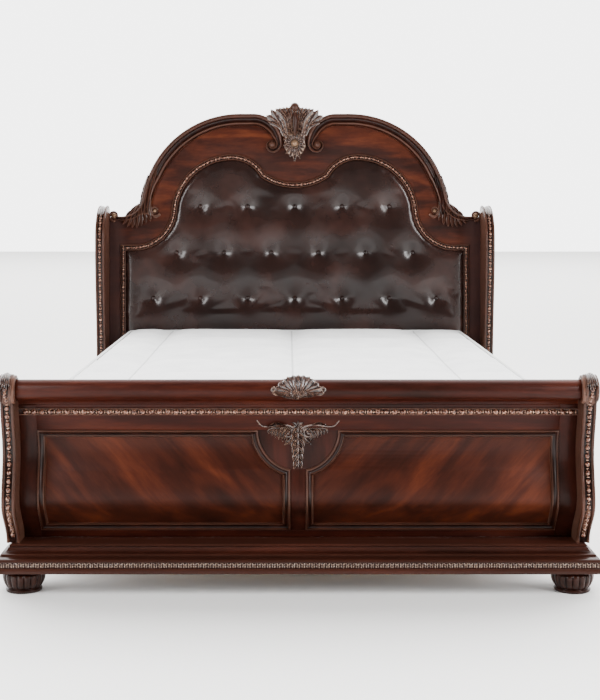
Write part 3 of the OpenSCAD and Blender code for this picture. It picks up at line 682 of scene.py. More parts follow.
# ---- Bun feet ----
# Turned bun feet carved with lobes all round, over a plain ring that stands on the floor. Each is dowelled
# up into the plinth.
foot_profile = in_mm((0, 0), (53, 0), (55, 2), (56, 6), (55, 9), (51.5, 11), (52, 13), (57, 19), (62.5, 29),
                     (65.5, 41), (66, 49), (64.5, 55), (60, 60), (57, 62), (56, 66), (0, 66))
lobes = 18
for side in SIDES:
    low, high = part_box("bun_foot_" + side)
    middle = (low + high) / 2
    bm = turned([foot_profile[0]] + bent(foot_profile[1:-1], 44) + [foot_profile[-1]], lobes * 8)
    for vert in bm.verts:
        rise = (vert.co.z - 12 * MM) / (49 * MM)
        if 0 < rise < 1 and hypot(vert.co.x, vert.co.y) > 30 * MM:
            around = atan2(vert.co.y, vert.co.x) * lobes / 2
            cut = 5.5 * MM * (1 - abs(sin(around)) ** 0.55) * sin(pi * rise) ** 0.5
            keep = 1 - cut / hypot(vert.co.x, vert.co.y)
            vert.co.x *= keep
            vert.co.y *= keep
    bmesh.ops.translate(bm, verts=bm.verts, vec=(middle.x, middle.y, low.z))
    piece("bun_foot_lobed_" + side, bm, moulded_cherry, "bed", ["bun_foot_" + side], crease=50)


# ---- Carving on the footboard ----
# A fan of leaves sits over the middle of the roll, and a spray with two long horns and a husk drop hangs in
# the bowl of the centre stile. Scrolls at the posts' tops carry a leaf that laps over the front.
roll_low, roll_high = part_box("footboard_roll")
roll_centre = (roll_low + roll_high) / 2
roll_r = (roll_high.z - roll_low.z) / 2


def on_roll(point, height):
    """A point on the leaf fan: x along the roll, and z as a length up over it. The fan stands off the roll
    towards its top, so its tips show above it."""
    turn = point[1] / (38 * MM)
    r = roll_r + height
    stand = 14 * MM * max(0, sin(turn)) ** 2
    return Vector((point[0], roll_centre.y - r * cos(turn), roll_centre.z + (r + stand) * sin(turn)))


bm = bmesh.new()
fronds = 13
root = Vector((0, -28 * MM))
for k in range(fronds):
    t = k / (fronds - 1) * 2 - 1
    a = radians(90 - 74 * t)
    end = root + Vector((cos(a) * 82, sin(a) * 76)) * MM
    spine = [root + Vector((4 * t * MM, 0)), root.lerp(end, 0.5) + Vector((-6 * t, 9 * abs(t))) * MM, end]
    leaf(bm, spine, 24 * MM, (7.5 + 1.5 * (k % 2)) * MM, on_roll, lobes=1, tip=4 * MM, veins=1, base=0.3,
         full=0.88)
for s in (-1, 1):
    place = mirrored_point(s, on_roll)
    volute(bm, (73 * MM, 2 * MM), 10 * MM, 100, 1.1, 3 * MM, place, way=-1, count=24)
    leaf(bm, in_mm((4, -26), (34, -20), (68, -8)), 13 * MM, 7 * MM, place, lobes=4, tip=4 * MM)
leaf(bm, in_mm((0, -12), (0, -24), (0, -38)), 22 * MM, 10 * MM, on_roll, lobes=3, tip=1 * MM, veins=1,
     base=0.6)
piece("roll_crest_carved", bm, carved_wood, "bed", ["roll_crest"], crease=50)

field_top = field_high.z


def in_bowl(point, height):
    """A point near the bowl: x, and z measured from the top of the fields."""
    return on_footboard((point[0], field_top + point[1]), height)


bm = bmesh.new()
for s in (-1, 1):
    place = mirrored_point(s, in_bowl)
    scroll_rod(bm, in_mm((8, -4), (22, 12), (52, 17), (88, 12), (112, 14), (128, 32)), 4.6 * MM, 1.8 * MM,
               place)
    volute(bm, (32 * MM, -10 * MM), 16 * MM, 80, 1.2, 3.4 * MM, place, way=1, count=32)
    for k in range(6):
        t = k / 5
        root = Vector((24 + 30 * t, 8 - 2 * t)) * MM
        end = root + Vector((14 + 24 * t, -44 + 30 * t)) * MM
        bow = Vector((10 + 4 * t, 2)) * MM
        leaf(bm, [root, root.lerp(end, 0.45) + bow, end], (12 - 1.5 * t) * MM, 9 * MM, place, lobes=2,
             tip=4 * MM, veins=1)
    leaf(bm, in_mm((40, 16), (66, 22), (92, 14)), 11 * MM, 7 * MM, place, lobes=3)
    leaf(bm, in_mm((14, -20), (24, -34), (40, -44)), 12 * MM, 9 * MM, place, lobes=2, tip=4 * MM, veins=1)
for row in range(6):
    z = 6 - 21 * row
    spread = (20 - 2.0 * row) * (0.75 if row == 0 else 1)
    for s in (-1, 1):
        place = mirrored_point(s, in_bowl)
        leaf(bm, in_mm((1.5, z + 8), (spread * 0.8, z - 2), (spread * 1.15, z - 18)), 13 * MM, 9 * MM, place,
             lobes=2, tip=4 * MM, veins=1)
    leaf(bm, in_mm((0, z + 10), (0, z - 6), (0, z - 19)), 11 * MM, 8.5 * MM, in_bowl, lobes=2, tip=1 * MM,
         veins=0)
for k in range(3):
    lean = (k - 1) * 12
    leaf(bm, in_mm((lean * 0.3, 6), (lean * 0.8, 18), (lean * 1.5, 31 - abs(lean) * 0.3)), 11 * MM, 6 * MM,
         in_bowl, lobes=2, tip=3 * MM, veins=1)
piece("footboard_applique_carved", bm, carved_wood, "bed", ["footboard_applique"], crease=50)

bm = bmesh.new()
for side, s in SIDES.items():
    def on_scroll(point, height):
        """Over the scroll at a post's top: x across the post, z as a length round it from its front."""
        turn = point[1] / scroll_r
        r = scroll_r + height
        return Vector((s * post_middle + point[0], scroll_centre.x - r * cos(turn),
                       scroll_centre.y + r * sin(turn)))

    for k in (-2, -1, 0, 1, 2):
        leaf(bm, in_mm((k * 1.5, 118), (k * 4, 60), (k * 7.5, 2 + 5 * abs(k))), 12 * MM,
             (5 - 0.8 * abs(k)) * MM, on_scroll, lobes=5, tip=3 * MM, veins=1, base=0.6)
piece("footboard_scroll_leaves", bm, carved_wood, "bed", crease=50)


# ---- Headboard posts ----
# The headboard's posts repeat the footboard's: a thick board with a beaded moulding up its front. They lean
# forward as they rise, then roll over at the top into a rounded end, under a small carved leaf.
head_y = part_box("headboard_arch_panel")[0].y
post_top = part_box("headboard_post_left")[1].z
head_bend = Vector((head_y - 25 * MM, post_top - 150 * MM))
end_r = 55 * MM
head_end = Vector((head_y - 25 * MM, post_top - end_r))
lean_from = 416 * MM
over_reach, over_rise = 167 * MM, 150 * MM
post_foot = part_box("headboard_glides")[1].z


def eased(z, low, high):
    return (1 - cos(pi * min(1, max(0, (z - low) / (high - low))))) / 2


head_heights = [post_foot + (head_bend.y - post_foot) * i / 40 for i in range(40)]
head_front = [Vector((head_y - (130 + 62 * eased(z, lean_from, head_bend.y)) * MM, z)) for z in head_heights]
head_over = [Vector((head_bend.x - over_reach * cos(radians(a)), head_bend.y + over_rise * sin(radians(a))))
             for a in range(0, 90, 6)]
head_ribbon = head_front + head_over + arc(head_end, end_r, 90, -20, 14)
head_back = [Vector((head_y + (42 - 22 * eased(z, lean_from, head_bend.y + 25 * MM)) * MM, z))
             for z in head_heights]
for side, s in SIDES.items():
    bm = bmesh.new()
    core = [p - n * ridge for p, n in mitred(head_ribbon)]
    slab(bm, core + head_back[::-1], s * post_inner, s * post_outer)
    skin(bm, side_rings(head_ribbon, [Vector((s * post_middle + v.x, v.y)) for v in ribbon_profile]))
    piece("headboard_post_shaped_" + side, bm, moulded_cherry, "bed",
          ["headboard_post_" + side])
    bm = bmesh.new()
    channel = head_front[10:] + head_over[:-2]
    line = [Vector((s * post_middle, *(p - n * 4.5 * MM))) for p, n in mitred(channel)]
    bead_string(bm, line, 7.2 * MM, bead_pitch)
    piece("headboard_post_bead_string_" + side, bm, beads_painted_light, "bed",
          ["headboard_post_beads_" + side], crease=60)

bm = bmesh.new()
for side, s in SIDES.items():
    def on_post_end(point, height):
        """Over the rounded end of a headboard post: x across the post, z as an angle round it in degrees."""
        a = radians(point[1] / MM)
        out = Vector((cos(a) / over_reach, sin(a) / over_rise)).normalized() * height
        return Vector((s * post_middle + point[0], head_bend.x - over_reach * cos(a) - out.x,
                       head_bend.y + over_rise * sin(a) + out.y))

    for k in (-1, 0, 1):
        leaf(bm, in_mm((k * 2, 74), (k * 7, 58), (k * 9, 38 + 6 * abs(k))), 16 * MM, (6 - abs(k)) * MM,
             on_post_end, lobes=4, tip=3 * MM, veins=1, base=0.6)
piece("headboard_post_leaves", bm, carved_wood, "bed", crease=50)


# ---- Arched panel ----
# A shaped board faced with flame mahogany veneer, its figure lying across the bed, warm in the arch, and
# greyer in the upright parts beside the pad, where a reflection is painted in. The pad's board fits in the
# opening.
flame_veneer = veneer("flame_mahogany_veneer", (0, 0, 0), (5, 1, 1),
                      ((0.30, "#1a0b07"), (0.44, "#2c130c"), (0.54, "#401c10"), (0.68, "#572a17")),
                      ribbon=11.0)
nodes = flame_veneer.node_tree.nodes
shader = nodes["Principled BSDF"]
spot = add(nodes, "ShaderNodeSeparateXYZ", _0=add(nodes, "ShaderNodeTexCoord").outputs["Object"])
out = add(nodes, "ShaderNodeMath", {"operation": "ABSOLUTE"}, _0=spot.outputs["X"])
# Painted reflection: from 770 mm out from the middle, and fully from 830 mm, the veneer is mixed towards
# grey.
painted_reflection_band = add(nodes, "ShaderNodeMapRange", {"From Min": 0.770, "From Max": 0.830, "To Max": 0.8},
              Value=out.outputs[0])
figure = shader.inputs["Base Color"].links[0].from_socket
with_painted_reflection = add(nodes, "ShaderNodeMix", {"data_type": "RGBA", 7: linear("#3c2b29")}, _0=painted_reflection_band.outputs[0],
            _6=figure)
flame_veneer.node_tree.links.new(with_painted_reflection.outputs[2], shader.inputs["Base Color"])
finish_board("headboard_arch_panel", flame_veneer)


# ---- Beaded frame round the pad ----
# A small moulding covers the joint between the pad and the panel: two fillets with a string of oval beads
# between them, with pale crowns of painted highlight and dark gaps of painted shade. It follows the pad's
# double-lobed outline.
def on_headboard(point, height):
    return Vector((point[0], head_y - height, point[1]))


def bearing(a, b):
    return degrees(atan2(b[1] - a[1], b[0] - a[0]))


pad_low, pad_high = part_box("headboard_pad")
pad_half = pad_high.x
corner_z = post_top - 211 * MM
shoulder_r = 200 * MM
shoulder_c = Vector((pad_half - 38 * MM, corner_z + shoulder_r))
lobe_c = Vector((292 * MM, corner_z + 165 * MM))
lobe_r = (shoulder_c - lobe_c).length - shoulder_r
peak_r = 150 * MM
peak_c = lobe_c + Vector((0, lobe_r - peak_r))
dip_r = 277 * MM
dip_c = Vector((0, lobe_c.y + lobe_r - 130 * MM + dip_r))


def pad_outline(grown):
    """The pad's outline as a closed path that runs clockwise from the middle of the dip, grown outwards."""
    r1, r2 = peak_r + grown, dip_r - grown
    between = dip_c - peak_c
    along = (r1 * r1 - r2 * r2 + between.length_squared) / (2 * between.length)
    unit = between.normalized()
    cusp = peak_c + unit * along + Vector((-unit.y, unit.x)) * sqrt(r1 * r1 - along * along)
    turn = bearing(lobe_c, shoulder_c)
    half = arc(dip_c, r2, -90, bearing(dip_c, cusp), 8)
    half += arc(peak_c, r1, bearing(peak_c, cusp), 90, 10)[1:]
    half += arc(lobe_c, lobe_r + grown, 90, turn, 18)[1:]
    half += arc(shoulder_c, shoulder_r - grown, 180 + turn, 270, 14)[1:]
    half += [Vector((pad_half + grown, corner_z + grown)), Vector((pad_half + grown, pad_low.z - grown))]
    return half + [Vector((-p.x, p.y)) for p in half[:0:-1]]


frame_profile = in_mm((-13.5, 0), (-13.5, 9), (-12, 11.5), (-9.5, 11.5), (-8, 9), (-7.5, 4), (7.5, 4),
                      (8, 7.5), (9.5, 9.5), (12, 8), (14, 4), (14, 0))
bm = bmesh.new()
moulding(bm, pad_outline(14 * MM), frame_profile, on_headboard, closed=True)
piece("pad_frame_moulding", bm, moulded_cherry, "bed", ["headboard_bead_frame"])
bm = bmesh.new()
bead_string(bm, [on_headboard(p, 6.5 * MM) for p in pad_outline(14 * MM)], 5.8 * MM, 20 * MM, closed=True,
            length=1.4)
piece("pad_frame_beads", bm, beads_painted_light, "bed", crease=60)


# ---- Swan necks ----
# Two broad mouldings sweep up the arch from the posts and curl into volutes beside the crest. Each has a
# fat outer bead, a cove, and a fine inner bead. At the foot it parts into two small scrolls with a fan of
# acanthus leaves between them; the small scrolls' eyes are picked out in old gold.
old_gold, nodes, shader = new_material("old_gold_wax")
shader.inputs["Base Color"].default_value = linear("#7a5f49")
shader.inputs["Metallic"].default_value = 0.55
shader.inputs["Roughness"].default_value = 0.34
arch_c = Vector((255 * MM, post_top - 32 * MM))
neck_r = 104 * MM
neck_c = Vector((post_inner - 54 * MM, post_top + 53 * MM))
arch_r = (neck_c - arch_c).length - neck_r
arch_top = arch_c.y + arch_r
neck_turn = bearing(arch_c, neck_c)
curl_r = 132 * MM
curl_c = Vector((192 * MM, arch_top - curl_r))
eye_c = Vector((105 * MM, arch_top - 145 * MM))
post_scroll_c, inner_scroll_c = in_mm((843, 1143), (652, 1166))
neck_profile = [(0, -1), (0, 19), (0.03, 25), (0.10, 28.5), (0.19, 29.5), (0.28, 28), (0.34, 23),
                (0.36, 17.5), (0.42, 14.5), (0.52, 13), (0.62, 14), (0.69, 17), (0.71, 21), (0.77, 24),
                (0.84, 24), (0.90, 20), (0.92, 15), (0.97, 11), (1.0, 8), (1.0, -1)]


def widths(*stops):
    """Band widths in millimetres through stops of (count, end width), starting from the first width."""
    result = [stops[0]]
    for count, end in stops[1:]:
        start = result[-1]
        result += [start + (end - start) * (i + 1) / count for i in range(count)]
    return [w * MM for w in result]


neck_path = arc(neck_c, neck_r, 287, 180 + neck_turn, 16) + arc(arch_c, arch_r, neck_turn, 90, 44)[1:]
neck_path += [Vector((223 * MM, arch_top))] + arc(curl_c, curl_r, 90, 188, 26)
wound = []
for i in range(1, 33):
    a = radians(188 + 250 * i / 32)
    r = (42 - 20 * i / 32) * MM
    wound.append(eye_c + Vector((r * cos(a), r * sin(a))))
neck_path += wound
neck_widths = widths(16, (16, 44), (8, 58), (37, 56), (12, 54), (8, 46), (6, 27), (20, 20), (11, 9))
for side, s in SIDES.items():
    bm = bmesh.new()
    own = bmesh.new()
    rings = []
    for i, (p, n) in enumerate(mitred(neck_path)):
        wide = neck_widths[min(i, len(neck_widths) - 1)]
        high = min(1.0, 0.55 + 0.45 * wide / (44 * MM)) * MM
        rings.append([on_headboard((s * (p.x + n.x * u * wide), p.y + n.y * u * wide), v * high)
                      for u, v in neck_profile])
    skin(own, rings)
    merge(bm, own)
    place = mirrored_point(s, on_headboard)
    lifted = mirrored_point(s, lambda p, h: on_headboard(p, h + 6 * MM))
    volute(bm, post_scroll_c, 24 * MM, -100, 0.8, 6.5 * MM, lifted, way=1, eye=0.62, count=28)
    scroll_rod(bm, in_mm((648, 1345), (668, 1275), (676, 1210), (668, 1160), (650, 1138), (628, 1150)),
               5 * MM, 6.5 * MM, lifted)
    volute(bm, inner_scroll_c, 26 * MM, 215, 0.85, 6.5 * MM, lifted, way=1, eye=0.5, count=28)
    for k in range(7):
        t = k / 6
        tip_x, tip_z = 800 - 128 * t, 1122 - 38 * sin(pi * (0.15 + 0.75 * t)) + 10 * t
        root = Vector((738 - 34 * t, 1186 + 28 * t)) * MM
        end = Vector((tip_x, tip_z)) * MM
        bow = Vector((10 - 14 * t, -6)) * MM
        leaf(bm, [root, root.lerp(end, 0.5) + bow, end], 25 * MM, (10 + 3 * (k % 2)) * MM, lifted, lobes=4,
             tip=5 * MM, veins=1, base=0.5)
    above_neck = mirrored_point(s, lambda p, h: on_headboard(p, h + 14 * MM))
    for k in range(3):
        root, middle, end = in_mm((716 - 14 * k, 1150), (706 - 16 * k, 1240 + 8 * k),
                                  (684 - 26 * k, 1330 + 42 * k))
        leaf(bm, [root, middle, end], 20 * MM, 13 * MM, above_neck, lobes=5, veins=1, base=0.6, full=0.3)
    dome(bm, eye_c + Vector((1, 2)) * MM, 20 * MM, 29 * MM, place)
    piece("swan_neck_carved_" + side, bm, moulded_cherry, "bed", ["swan_neck_" + side],
          crease=50)

bm = bmesh.new()
for side, s in SIDES.items():
    place = mirrored_point(s, on_headboard)
    dome(bm, post_scroll_c, 16 * MM, 24 * MM, place)
    dome(bm, inner_scroll_c, 12 * MM, 22 * MM, place)
piece("swan_neck_eyes", bm, old_gold, "bed", crease=60)


# ---- Crest ----
# The crest between the swan necks is one carving: a fan of flutes and curled leaves, a rosette with a gold
# button, and a fringe of blades below it. The round knob and the smooth leaf in the middle are left dark.
crest_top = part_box("headboard_crest")[1].z


def on_crest(point, height):
    """A point on the crest, with z measured down from its top."""
    return on_headboard((point[0], crest_top + point[1]), height + 22 * MM)


rosette_z = -186 * MM
bm = bmesh.new()
shield = in_mm((0, -12), (30, -22), (62, -34), (100, -38), (112, -62), (88, -92), (58, -125), (46, -165),
               (50, -200), (34, -232), (0, -252))
outline = shield + [Vector((-p.x, p.y)) for p in shield[-2:0:-1]]
own = bmesh.new()
base = own.faces.new([own.verts.new(on_crest(p, -22 * MM)) for p in outline])
made = bmesh.ops.extrude_face_region(own, geom=[base])["geom"]
bmesh.ops.translate(own, verts=[v for v in made if isinstance(v, bmesh.types.BMVert)], vec=(0, -26 * MM, 0))
merge(bm, own)
for s in (-1, 1):
    place = mirrored_point(s, on_crest)
    for k in range(5):
        t = k / 4
        root = Vector((8 + 20 * t, -150 + 2 * t)) * MM
        end = Vector((22 + 66 * t, -16 - 6 * t - 4 * t * t)) * MM
        middle = root.lerp(end, 0.55) + Vector((-16 * t - 2, 4)) * MM
        leaf(bm, [root, middle, end], (20 + 4 * t) * MM, (12 + 3 * (k % 2)) * MM, place, lobes=2, tip=6 * MM,
             veins=1, base=0.4, full=0.84)
    side_leaves = [(in_mm((48, -150), (72, -92), (110, -30)), 34),
                   (in_mm((56, -124), (88, -84), (131, -58)), 30),
                   (in_mm((58, -118), (88, -98), (118, -88)), 24)]
    for spine, wide in side_leaves:
        leaf(bm, spine, wide * MM, 13 * MM, place, lobes=4, tip=6 * MM, veins=1, base=0.4, full=0.72)
    scroll_rod(bm, in_mm((44, -205), (40, -170), (50, -125), (74, -80), (98, -56), (86, -42), (70, -52)),
               5 * MM, 4.5 * MM, place)
    volute(bm, (84 * MM, -56 * MM), 15 * MM, 60, 1.0, 5 * MM, place, way=1, eye=0.4, count=24)
    for k in range(5):
        t = k / 4
        a = radians(-90 + 88 * t)
        way = Vector((cos(a), sin(a)))
        root = Vector((0, rosette_z)) + way * 24 * MM
        reach = (82 - 34 * t) * MM
        end = Vector((reach * way.x * 0.85, rosette_z + reach * way.y))
        leaf(bm, [root, root.lerp(end, 0.5), end], 15 * MM, 9 * MM, place, lobes=2, tip=4 * MM, veins=1,
             base=0.55)
    for k in range(3):
        root, end = in_mm((26 + 4 * k, -176 + 10 * k), (50 + 2 * k, -196 + 30 * k))
        leaf(bm, [root, root.lerp(end, 0.5), end], 13 * MM, 8 * MM, place, lobes=2, tip=3 * MM, veins=1,
             base=0.6)
for k in range(20):
    a = tau * k / 20
    inner, outer = [Vector((r * cos(a), rosette_z + r * sin(a))) for r in (23 * MM, 40 * MM)]
    leaf(bm, [inner, inner.lerp(outer, 0.5), outer], 10 * MM, 8 * MM, lambda p, h: on_crest(p, h + 7 * MM),
         lobes=1, tip=2 * MM, veins=0, base=0.7)
piece("headboard_crest_carved", bm, carved_wood, "bed", ["headboard_crest"], crease=50)
bm = bmesh.new()
leaf(bm, in_mm((0, -148), (0, -95), (0, -38)), 40 * MM, 20 * MM, on_crest, lobes=1, tip=5 * MM, veins=0,
     base=0.3, full=0.66)
dome(bm, (0, -17 * MM), 21 * MM, 21 * MM, on_crest)
piece("headboard_crest_knob", bm, moulded_cherry, "bed", crease=50)
bm = bmesh.new()
dome(bm, (0, rosette_z), 20 * MM, 24 * MM, on_crest)
piece("headboard_crest_button", bm, old_gold, "bed", crease=60)


# ---- Tufted pad ----
# Foam on a board under dark brown glazed leather. Buttons pull it in deeply in three rows, and between
# them the leather stands up in soft swells that catch the light. Its edge rolls under the beaded frame.
leather, nodes, shader = new_material("glazed_dark_brown_leather")
hide = object_position(nodes)
# Leather grain of about 2 mm pebbles, and a broader cloudiness in the dye.
pebbles = add(nodes, "ShaderNodeTexVoronoi", {"Scale": 480.0}, Vector=hide)
clouds = add(nodes, "ShaderNodeTexNoise", {"Scale": 7.0, "Detail": 4.0}, Vector=hide)
dye = ramp(nodes, clouds.outputs[0], (0.35, "#180c09"), (0.55, "#22120e"), (0.7, "#2e1a15"))
leather.node_tree.links.new(dye, shader.inputs["Base Color"])
creases = add(nodes, "ShaderNodeTexNoise", {"Scale": 26.0, "Detail": 5.0, "Distortion": 1.2}, Vector=hide)
fine = add(nodes, "ShaderNodeBump", {"Strength": 0.12, "Distance": 0.15 * MM},
           Height=pebbles.outputs["Distance"])
skin_bump = add(nodes, "ShaderNodeBump", {"Strength": 0.12, "Distance": 0.8 * MM}, Height=creases.outputs[0],
                Normal=fine.outputs[0])
leather.node_tree.links.new(skin_bump.outputs[0], shader.inputs["Normal"])
gloss = add(nodes, "ShaderNodeMapRange", {"To Min": 0.18, "To Max": 0.27}, Value=clouds.outputs[0])
leather.node_tree.links.new(gloss.outputs[0], shader.inputs["Roughness"])
shader.inputs["Specular IOR Level"].default_value = 0.26
shader.inputs["Coat Weight"].default_value = 0.12
shader.inputs["Coat Roughness"].default_value = 0.15
button_pitch = pad_half / 3.57
tuft_reach = 36 * MM
button_places = [(x * button_pitch, corner_z - 221 * MM) for x in range(-3, 4)]
button_places += [((x + 0.5) * button_pitch, corner_z - 8 * MM) for x in range(-3, 3)]
button_places += [(x * button_pitch, corner_z + 207 * MM) for x in range(-2, 3)]
pad_swell = 24 * MM
tuft_depth = 19 * MM
edge_roll = 32 * MM


def merged_copy(node, name):
    """A welded copy of a CAD piece, as an object of its own."""
    own = bmesh.new()
    own.from_mesh(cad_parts[node].data)
    bmesh.ops.remove_doubles(own, verts=own.verts, dist=0.01 * MM)
    mesh = bpy.data.meshes.new(name)
    own.to_mesh(mesh)
    own.free()
    copy = bpy.data.objects.new(name, mesh)
    scene.collection.objects.link(copy)
    return copy


def apply_modifiers(obj):
    """Bakes an object's modifiers into its mesh."""
    evaluated = obj.evaluated_get(bpy.context.evaluated_depsgraph_get())
    baked = bpy.data.meshes.new_from_object(evaluated)
    obj.modifiers.clear()
    obj.data = baked


def remeshed(obj, size):
    remesh = obj.modifiers.new("even_mesh", "REMESH")
    remesh.mode = "VOXEL"
    remesh.voxel_size = size
    apply_modifiers(obj)


def inflated(obj, held, pressure, most, stiffness=20.0):
    """Blows a padded shape up with cloth pressure, holding the listed vertices, and caps the movement."""
    before = [v.co.copy() for v in obj.data.vertices]
    group = obj.vertex_groups.new(name="held")
    group.add(held, 1.0, "REPLACE")
    cloth = obj.modifiers.new("swell", "CLOTH")
    cloth.settings.use_pressure = True
    cloth.settings.uniform_pressure_force = pressure
    cloth.settings.effector_weights.gravity = 0
    cloth.settings.vertex_group_mass = "held"
    cloth.settings.tension_stiffness = stiffness
    cloth.settings.compression_stiffness = stiffness
    cloth.settings.quality = 4
    for frame_number in range(1, 21):
        scene.frame_set(frame_number)
    apply_modifiers(obj)
    for vert, place in zip(obj.data.vertices, before):
        moved = vert.co - place
        if moved.length > most:
            vert.co = place + moved.normalized() * most
    obj.vertex_groups.clear()
    scene.frame_set(1)


def padded_finish(obj, material, body, replaced, levels=1):
    obj.data.materials.clear()
    obj.data.materials.append(material)
    obj.data.shade_smooth()
    if levels:
        smooth = obj.modifiers.new("smooth", "SUBSURF")
        smooth.levels = smooth.render_levels = levels
    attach(obj, body)
    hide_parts(replaced)


pad = merged_copy("headboard_pad", "headboard_pad_leather")
remeshed(pad, 9 * MM)
own = bmesh.new()
own.from_mesh(pad.data)
rear = [v for v in own.verts if v.co.y > head_y + 2 * MM]
bmesh.ops.delete(own, geom=rear, context="VERTS")
edge_points = divided(pad_outline(0), 8 * MM)
edge_tree = KDTree(len(edge_points))
for i, p in enumerate(edge_points):
    edge_tree.insert((p.x, 0, p.y), i)
edge_tree.balance()
front_face = pad_low.y
held = []
for vert in own.verts:
    if vert.co.y > front_face + 8 * MM:
        continue
    inside = edge_tree.find((vert.co.x, 0, vert.co.z))[2]
    roll = 1 - (1 - min(1, inside / edge_roll)) ** 2
    lift = pad_swell * (0.55 + 0.45 * sqrt(max(0, roll)))
    for x, z in button_places:
        away = hypot(vert.co.x - x, vert.co.z - z)
        if away < 160 * MM:
            around = atan2(vert.co.z - z, vert.co.x - x)
            pull = exp(-(away / tuft_reach) ** 1.4)
            fade = min(1, away / (30 * MM)) * exp(-(away / (48 * MM)) ** 2)
            pucker = 0.8 * MM * cos(4 * around + 9 * x) * fade
            lift += pucker - tuft_depth * pull
    cloud = noise.noise(Vector((vert.co.x * 6, 3.7, vert.co.z * 6)))
    vert.co.y = head_y - lift - 1.2 * MM * cloud * min(1, inside / edge_roll)
own.to_mesh(pad.data)
own.free()
fixed = []
for vert in pad.data.vertices:
    near = min(hypot(vert.co.x - x, vert.co.z - z) for x, z in button_places)
    if vert.co.y > head_y - 3 * MM or near < 12 * MM:
        fixed.append(vert.index)
inflated(pad, fixed, 0.5, 1.5 * MM)
finer = pad.modifiers.new("finer", "SUBSURF")
finer.levels = finer.render_levels = 1
apply_modifiers(pad)
own = bmesh.new()
own.from_mesh(pad.data)
bmesh.ops.holes_fill(own, edges=[e for e in own.edges if e.is_boundary], sides=0)
bmesh.ops.recalc_face_normals(own, faces=own.faces)
own.to_mesh(pad.data)
own.free()
padded_finish(pad, leather, "bed", "headboard_pad", levels=0)

bm = bmesh.new()
for x, z in button_places:
    dome(bm, (x, z), 10 * MM, 6.5 * MM, lambda p, h: on_headboard(p, h + 8.5 * MM), rings=4, sides=14)
piece("pad_buttons_covered", bm, leather, "bed", ["headboard_buttons"], crease=60)


# ---- Mattress ----
# A pocket-spring mattress in a white quilted knit cover. Stitched channels divide the top into broad
# panels that puff up between them, and a corded tape edge runs round the top and the bottom.
quilt, nodes, shader = new_material("white_quilted_knit")
cover = object_position(nodes)
# Knit ribs about 3 mm apart, and soft grey patches of painted shade in the cover that stand for the filling's
# unevenness.
ribs = add(nodes, "ShaderNodeTexWave", {"Scale": 100.0, "Distortion": 1.5, "Detail": 2.0}, Vector=cover)
filling_painted_shade = add(nodes, "ShaderNodeTexNoise", {"Scale": 8.0, "Detail": 3.0}, Vector=cover)
cloth_tone = ramp(nodes, filling_painted_shade.outputs[0], (0.3, "#e4e4e4"), (0.7, "#f4f4f3"))
knit = add(nodes, "ShaderNodeBump", {"Strength": 0.25, "Distance": 0.3 * MM}, Height=ribs.outputs["Fac"])
quilt.node_tree.links.new(knit.outputs[0], shader.inputs["Normal"])
shader.inputs["Roughness"].default_value = 0.85
shader.inputs["Sheen Weight"].default_value = 0.3
shader.inputs["Sheen Roughness"].default_value = 0.5
bed_low, bed_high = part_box("mattress")
bed_size = bed_high - bed_low
seam_x = [bed_low.x + bed_size.x * t for t in (0.13, 0.49, 0.86)]
seam_y = [bed_low.y + bed_size.y * t for t in (0.2, 0.4, 0.6, 0.8)]
corner_r = 60 * MM
# Painted shade along each lengthwise seam: a grey line that fades out 5 mm to either side of it, standing for
# the shadow in the stitched groove.
spot = add(nodes, "ShaderNodeSeparateXYZ", _0=cover)
for x in seam_x:
    away = add(nodes, "ShaderNodeMath", {"operation": "SUBTRACT", 1: x}, _0=spot.outputs["X"])
    away = add(nodes, "ShaderNodeMath", {"operation": "ABSOLUTE"}, _0=away.outputs[0])
    seam_painted_shade = add(nodes, "ShaderNodeMapRange", {"From Min": 5 * MM, "From Max": 2 * MM, "To Max": 0.6},
                   Value=away.outputs[0])
    cloth_tone = add(nodes, "ShaderNodeMix", {"data_type": "RGBA", 7: linear("#8c8c8e")},
                     _0=seam_painted_shade.outputs[0], _6=cloth_tone).outputs[2]
quilt.node_tree.links.new(cloth_tone, shader.inputs["Base Color"])
mattress = merged_copy("mattress", "mattress_quilted")
remeshed(mattress, 20 * MM)
fixed = []
for vert in mattress.data.vertices:
    x, y, z = vert.co
    on_top = z > bed_high.z - 10 * MM
    from_edge = min(x - bed_low.x, bed_high.x - x, y - bed_low.y, bed_high.y - y)
    if on_top and from_edge > 25 * MM:
        across = min(abs(x - v) for v in seam_x)
        along = min(abs(y - v) for v in seam_y)
        channel = max(exp(-(across / (26 * MM)) ** 2), 0.5 * exp(-(along / (30 * MM)) ** 2))
        soft = noise.noise(Vector((x * 3.1, y * 2.3, 1.7)))
        vert.co.z -= 17 * MM * channel - 3 * MM * soft - 4 * MM * min(1, from_edge / (120 * MM))
        if min(across, along) < 10 * MM:
            fixed.append(vert.index)
    elif z < bed_low.z + 12 * MM or from_edge < 14 * MM and (on_top or z < bed_low.z + 30 * MM):
        fixed.append(vert.index)
inflated(mattress, fixed, 3.0, 14 * MM)
padded_finish(mattress, quilt, "mattress", "mattress")

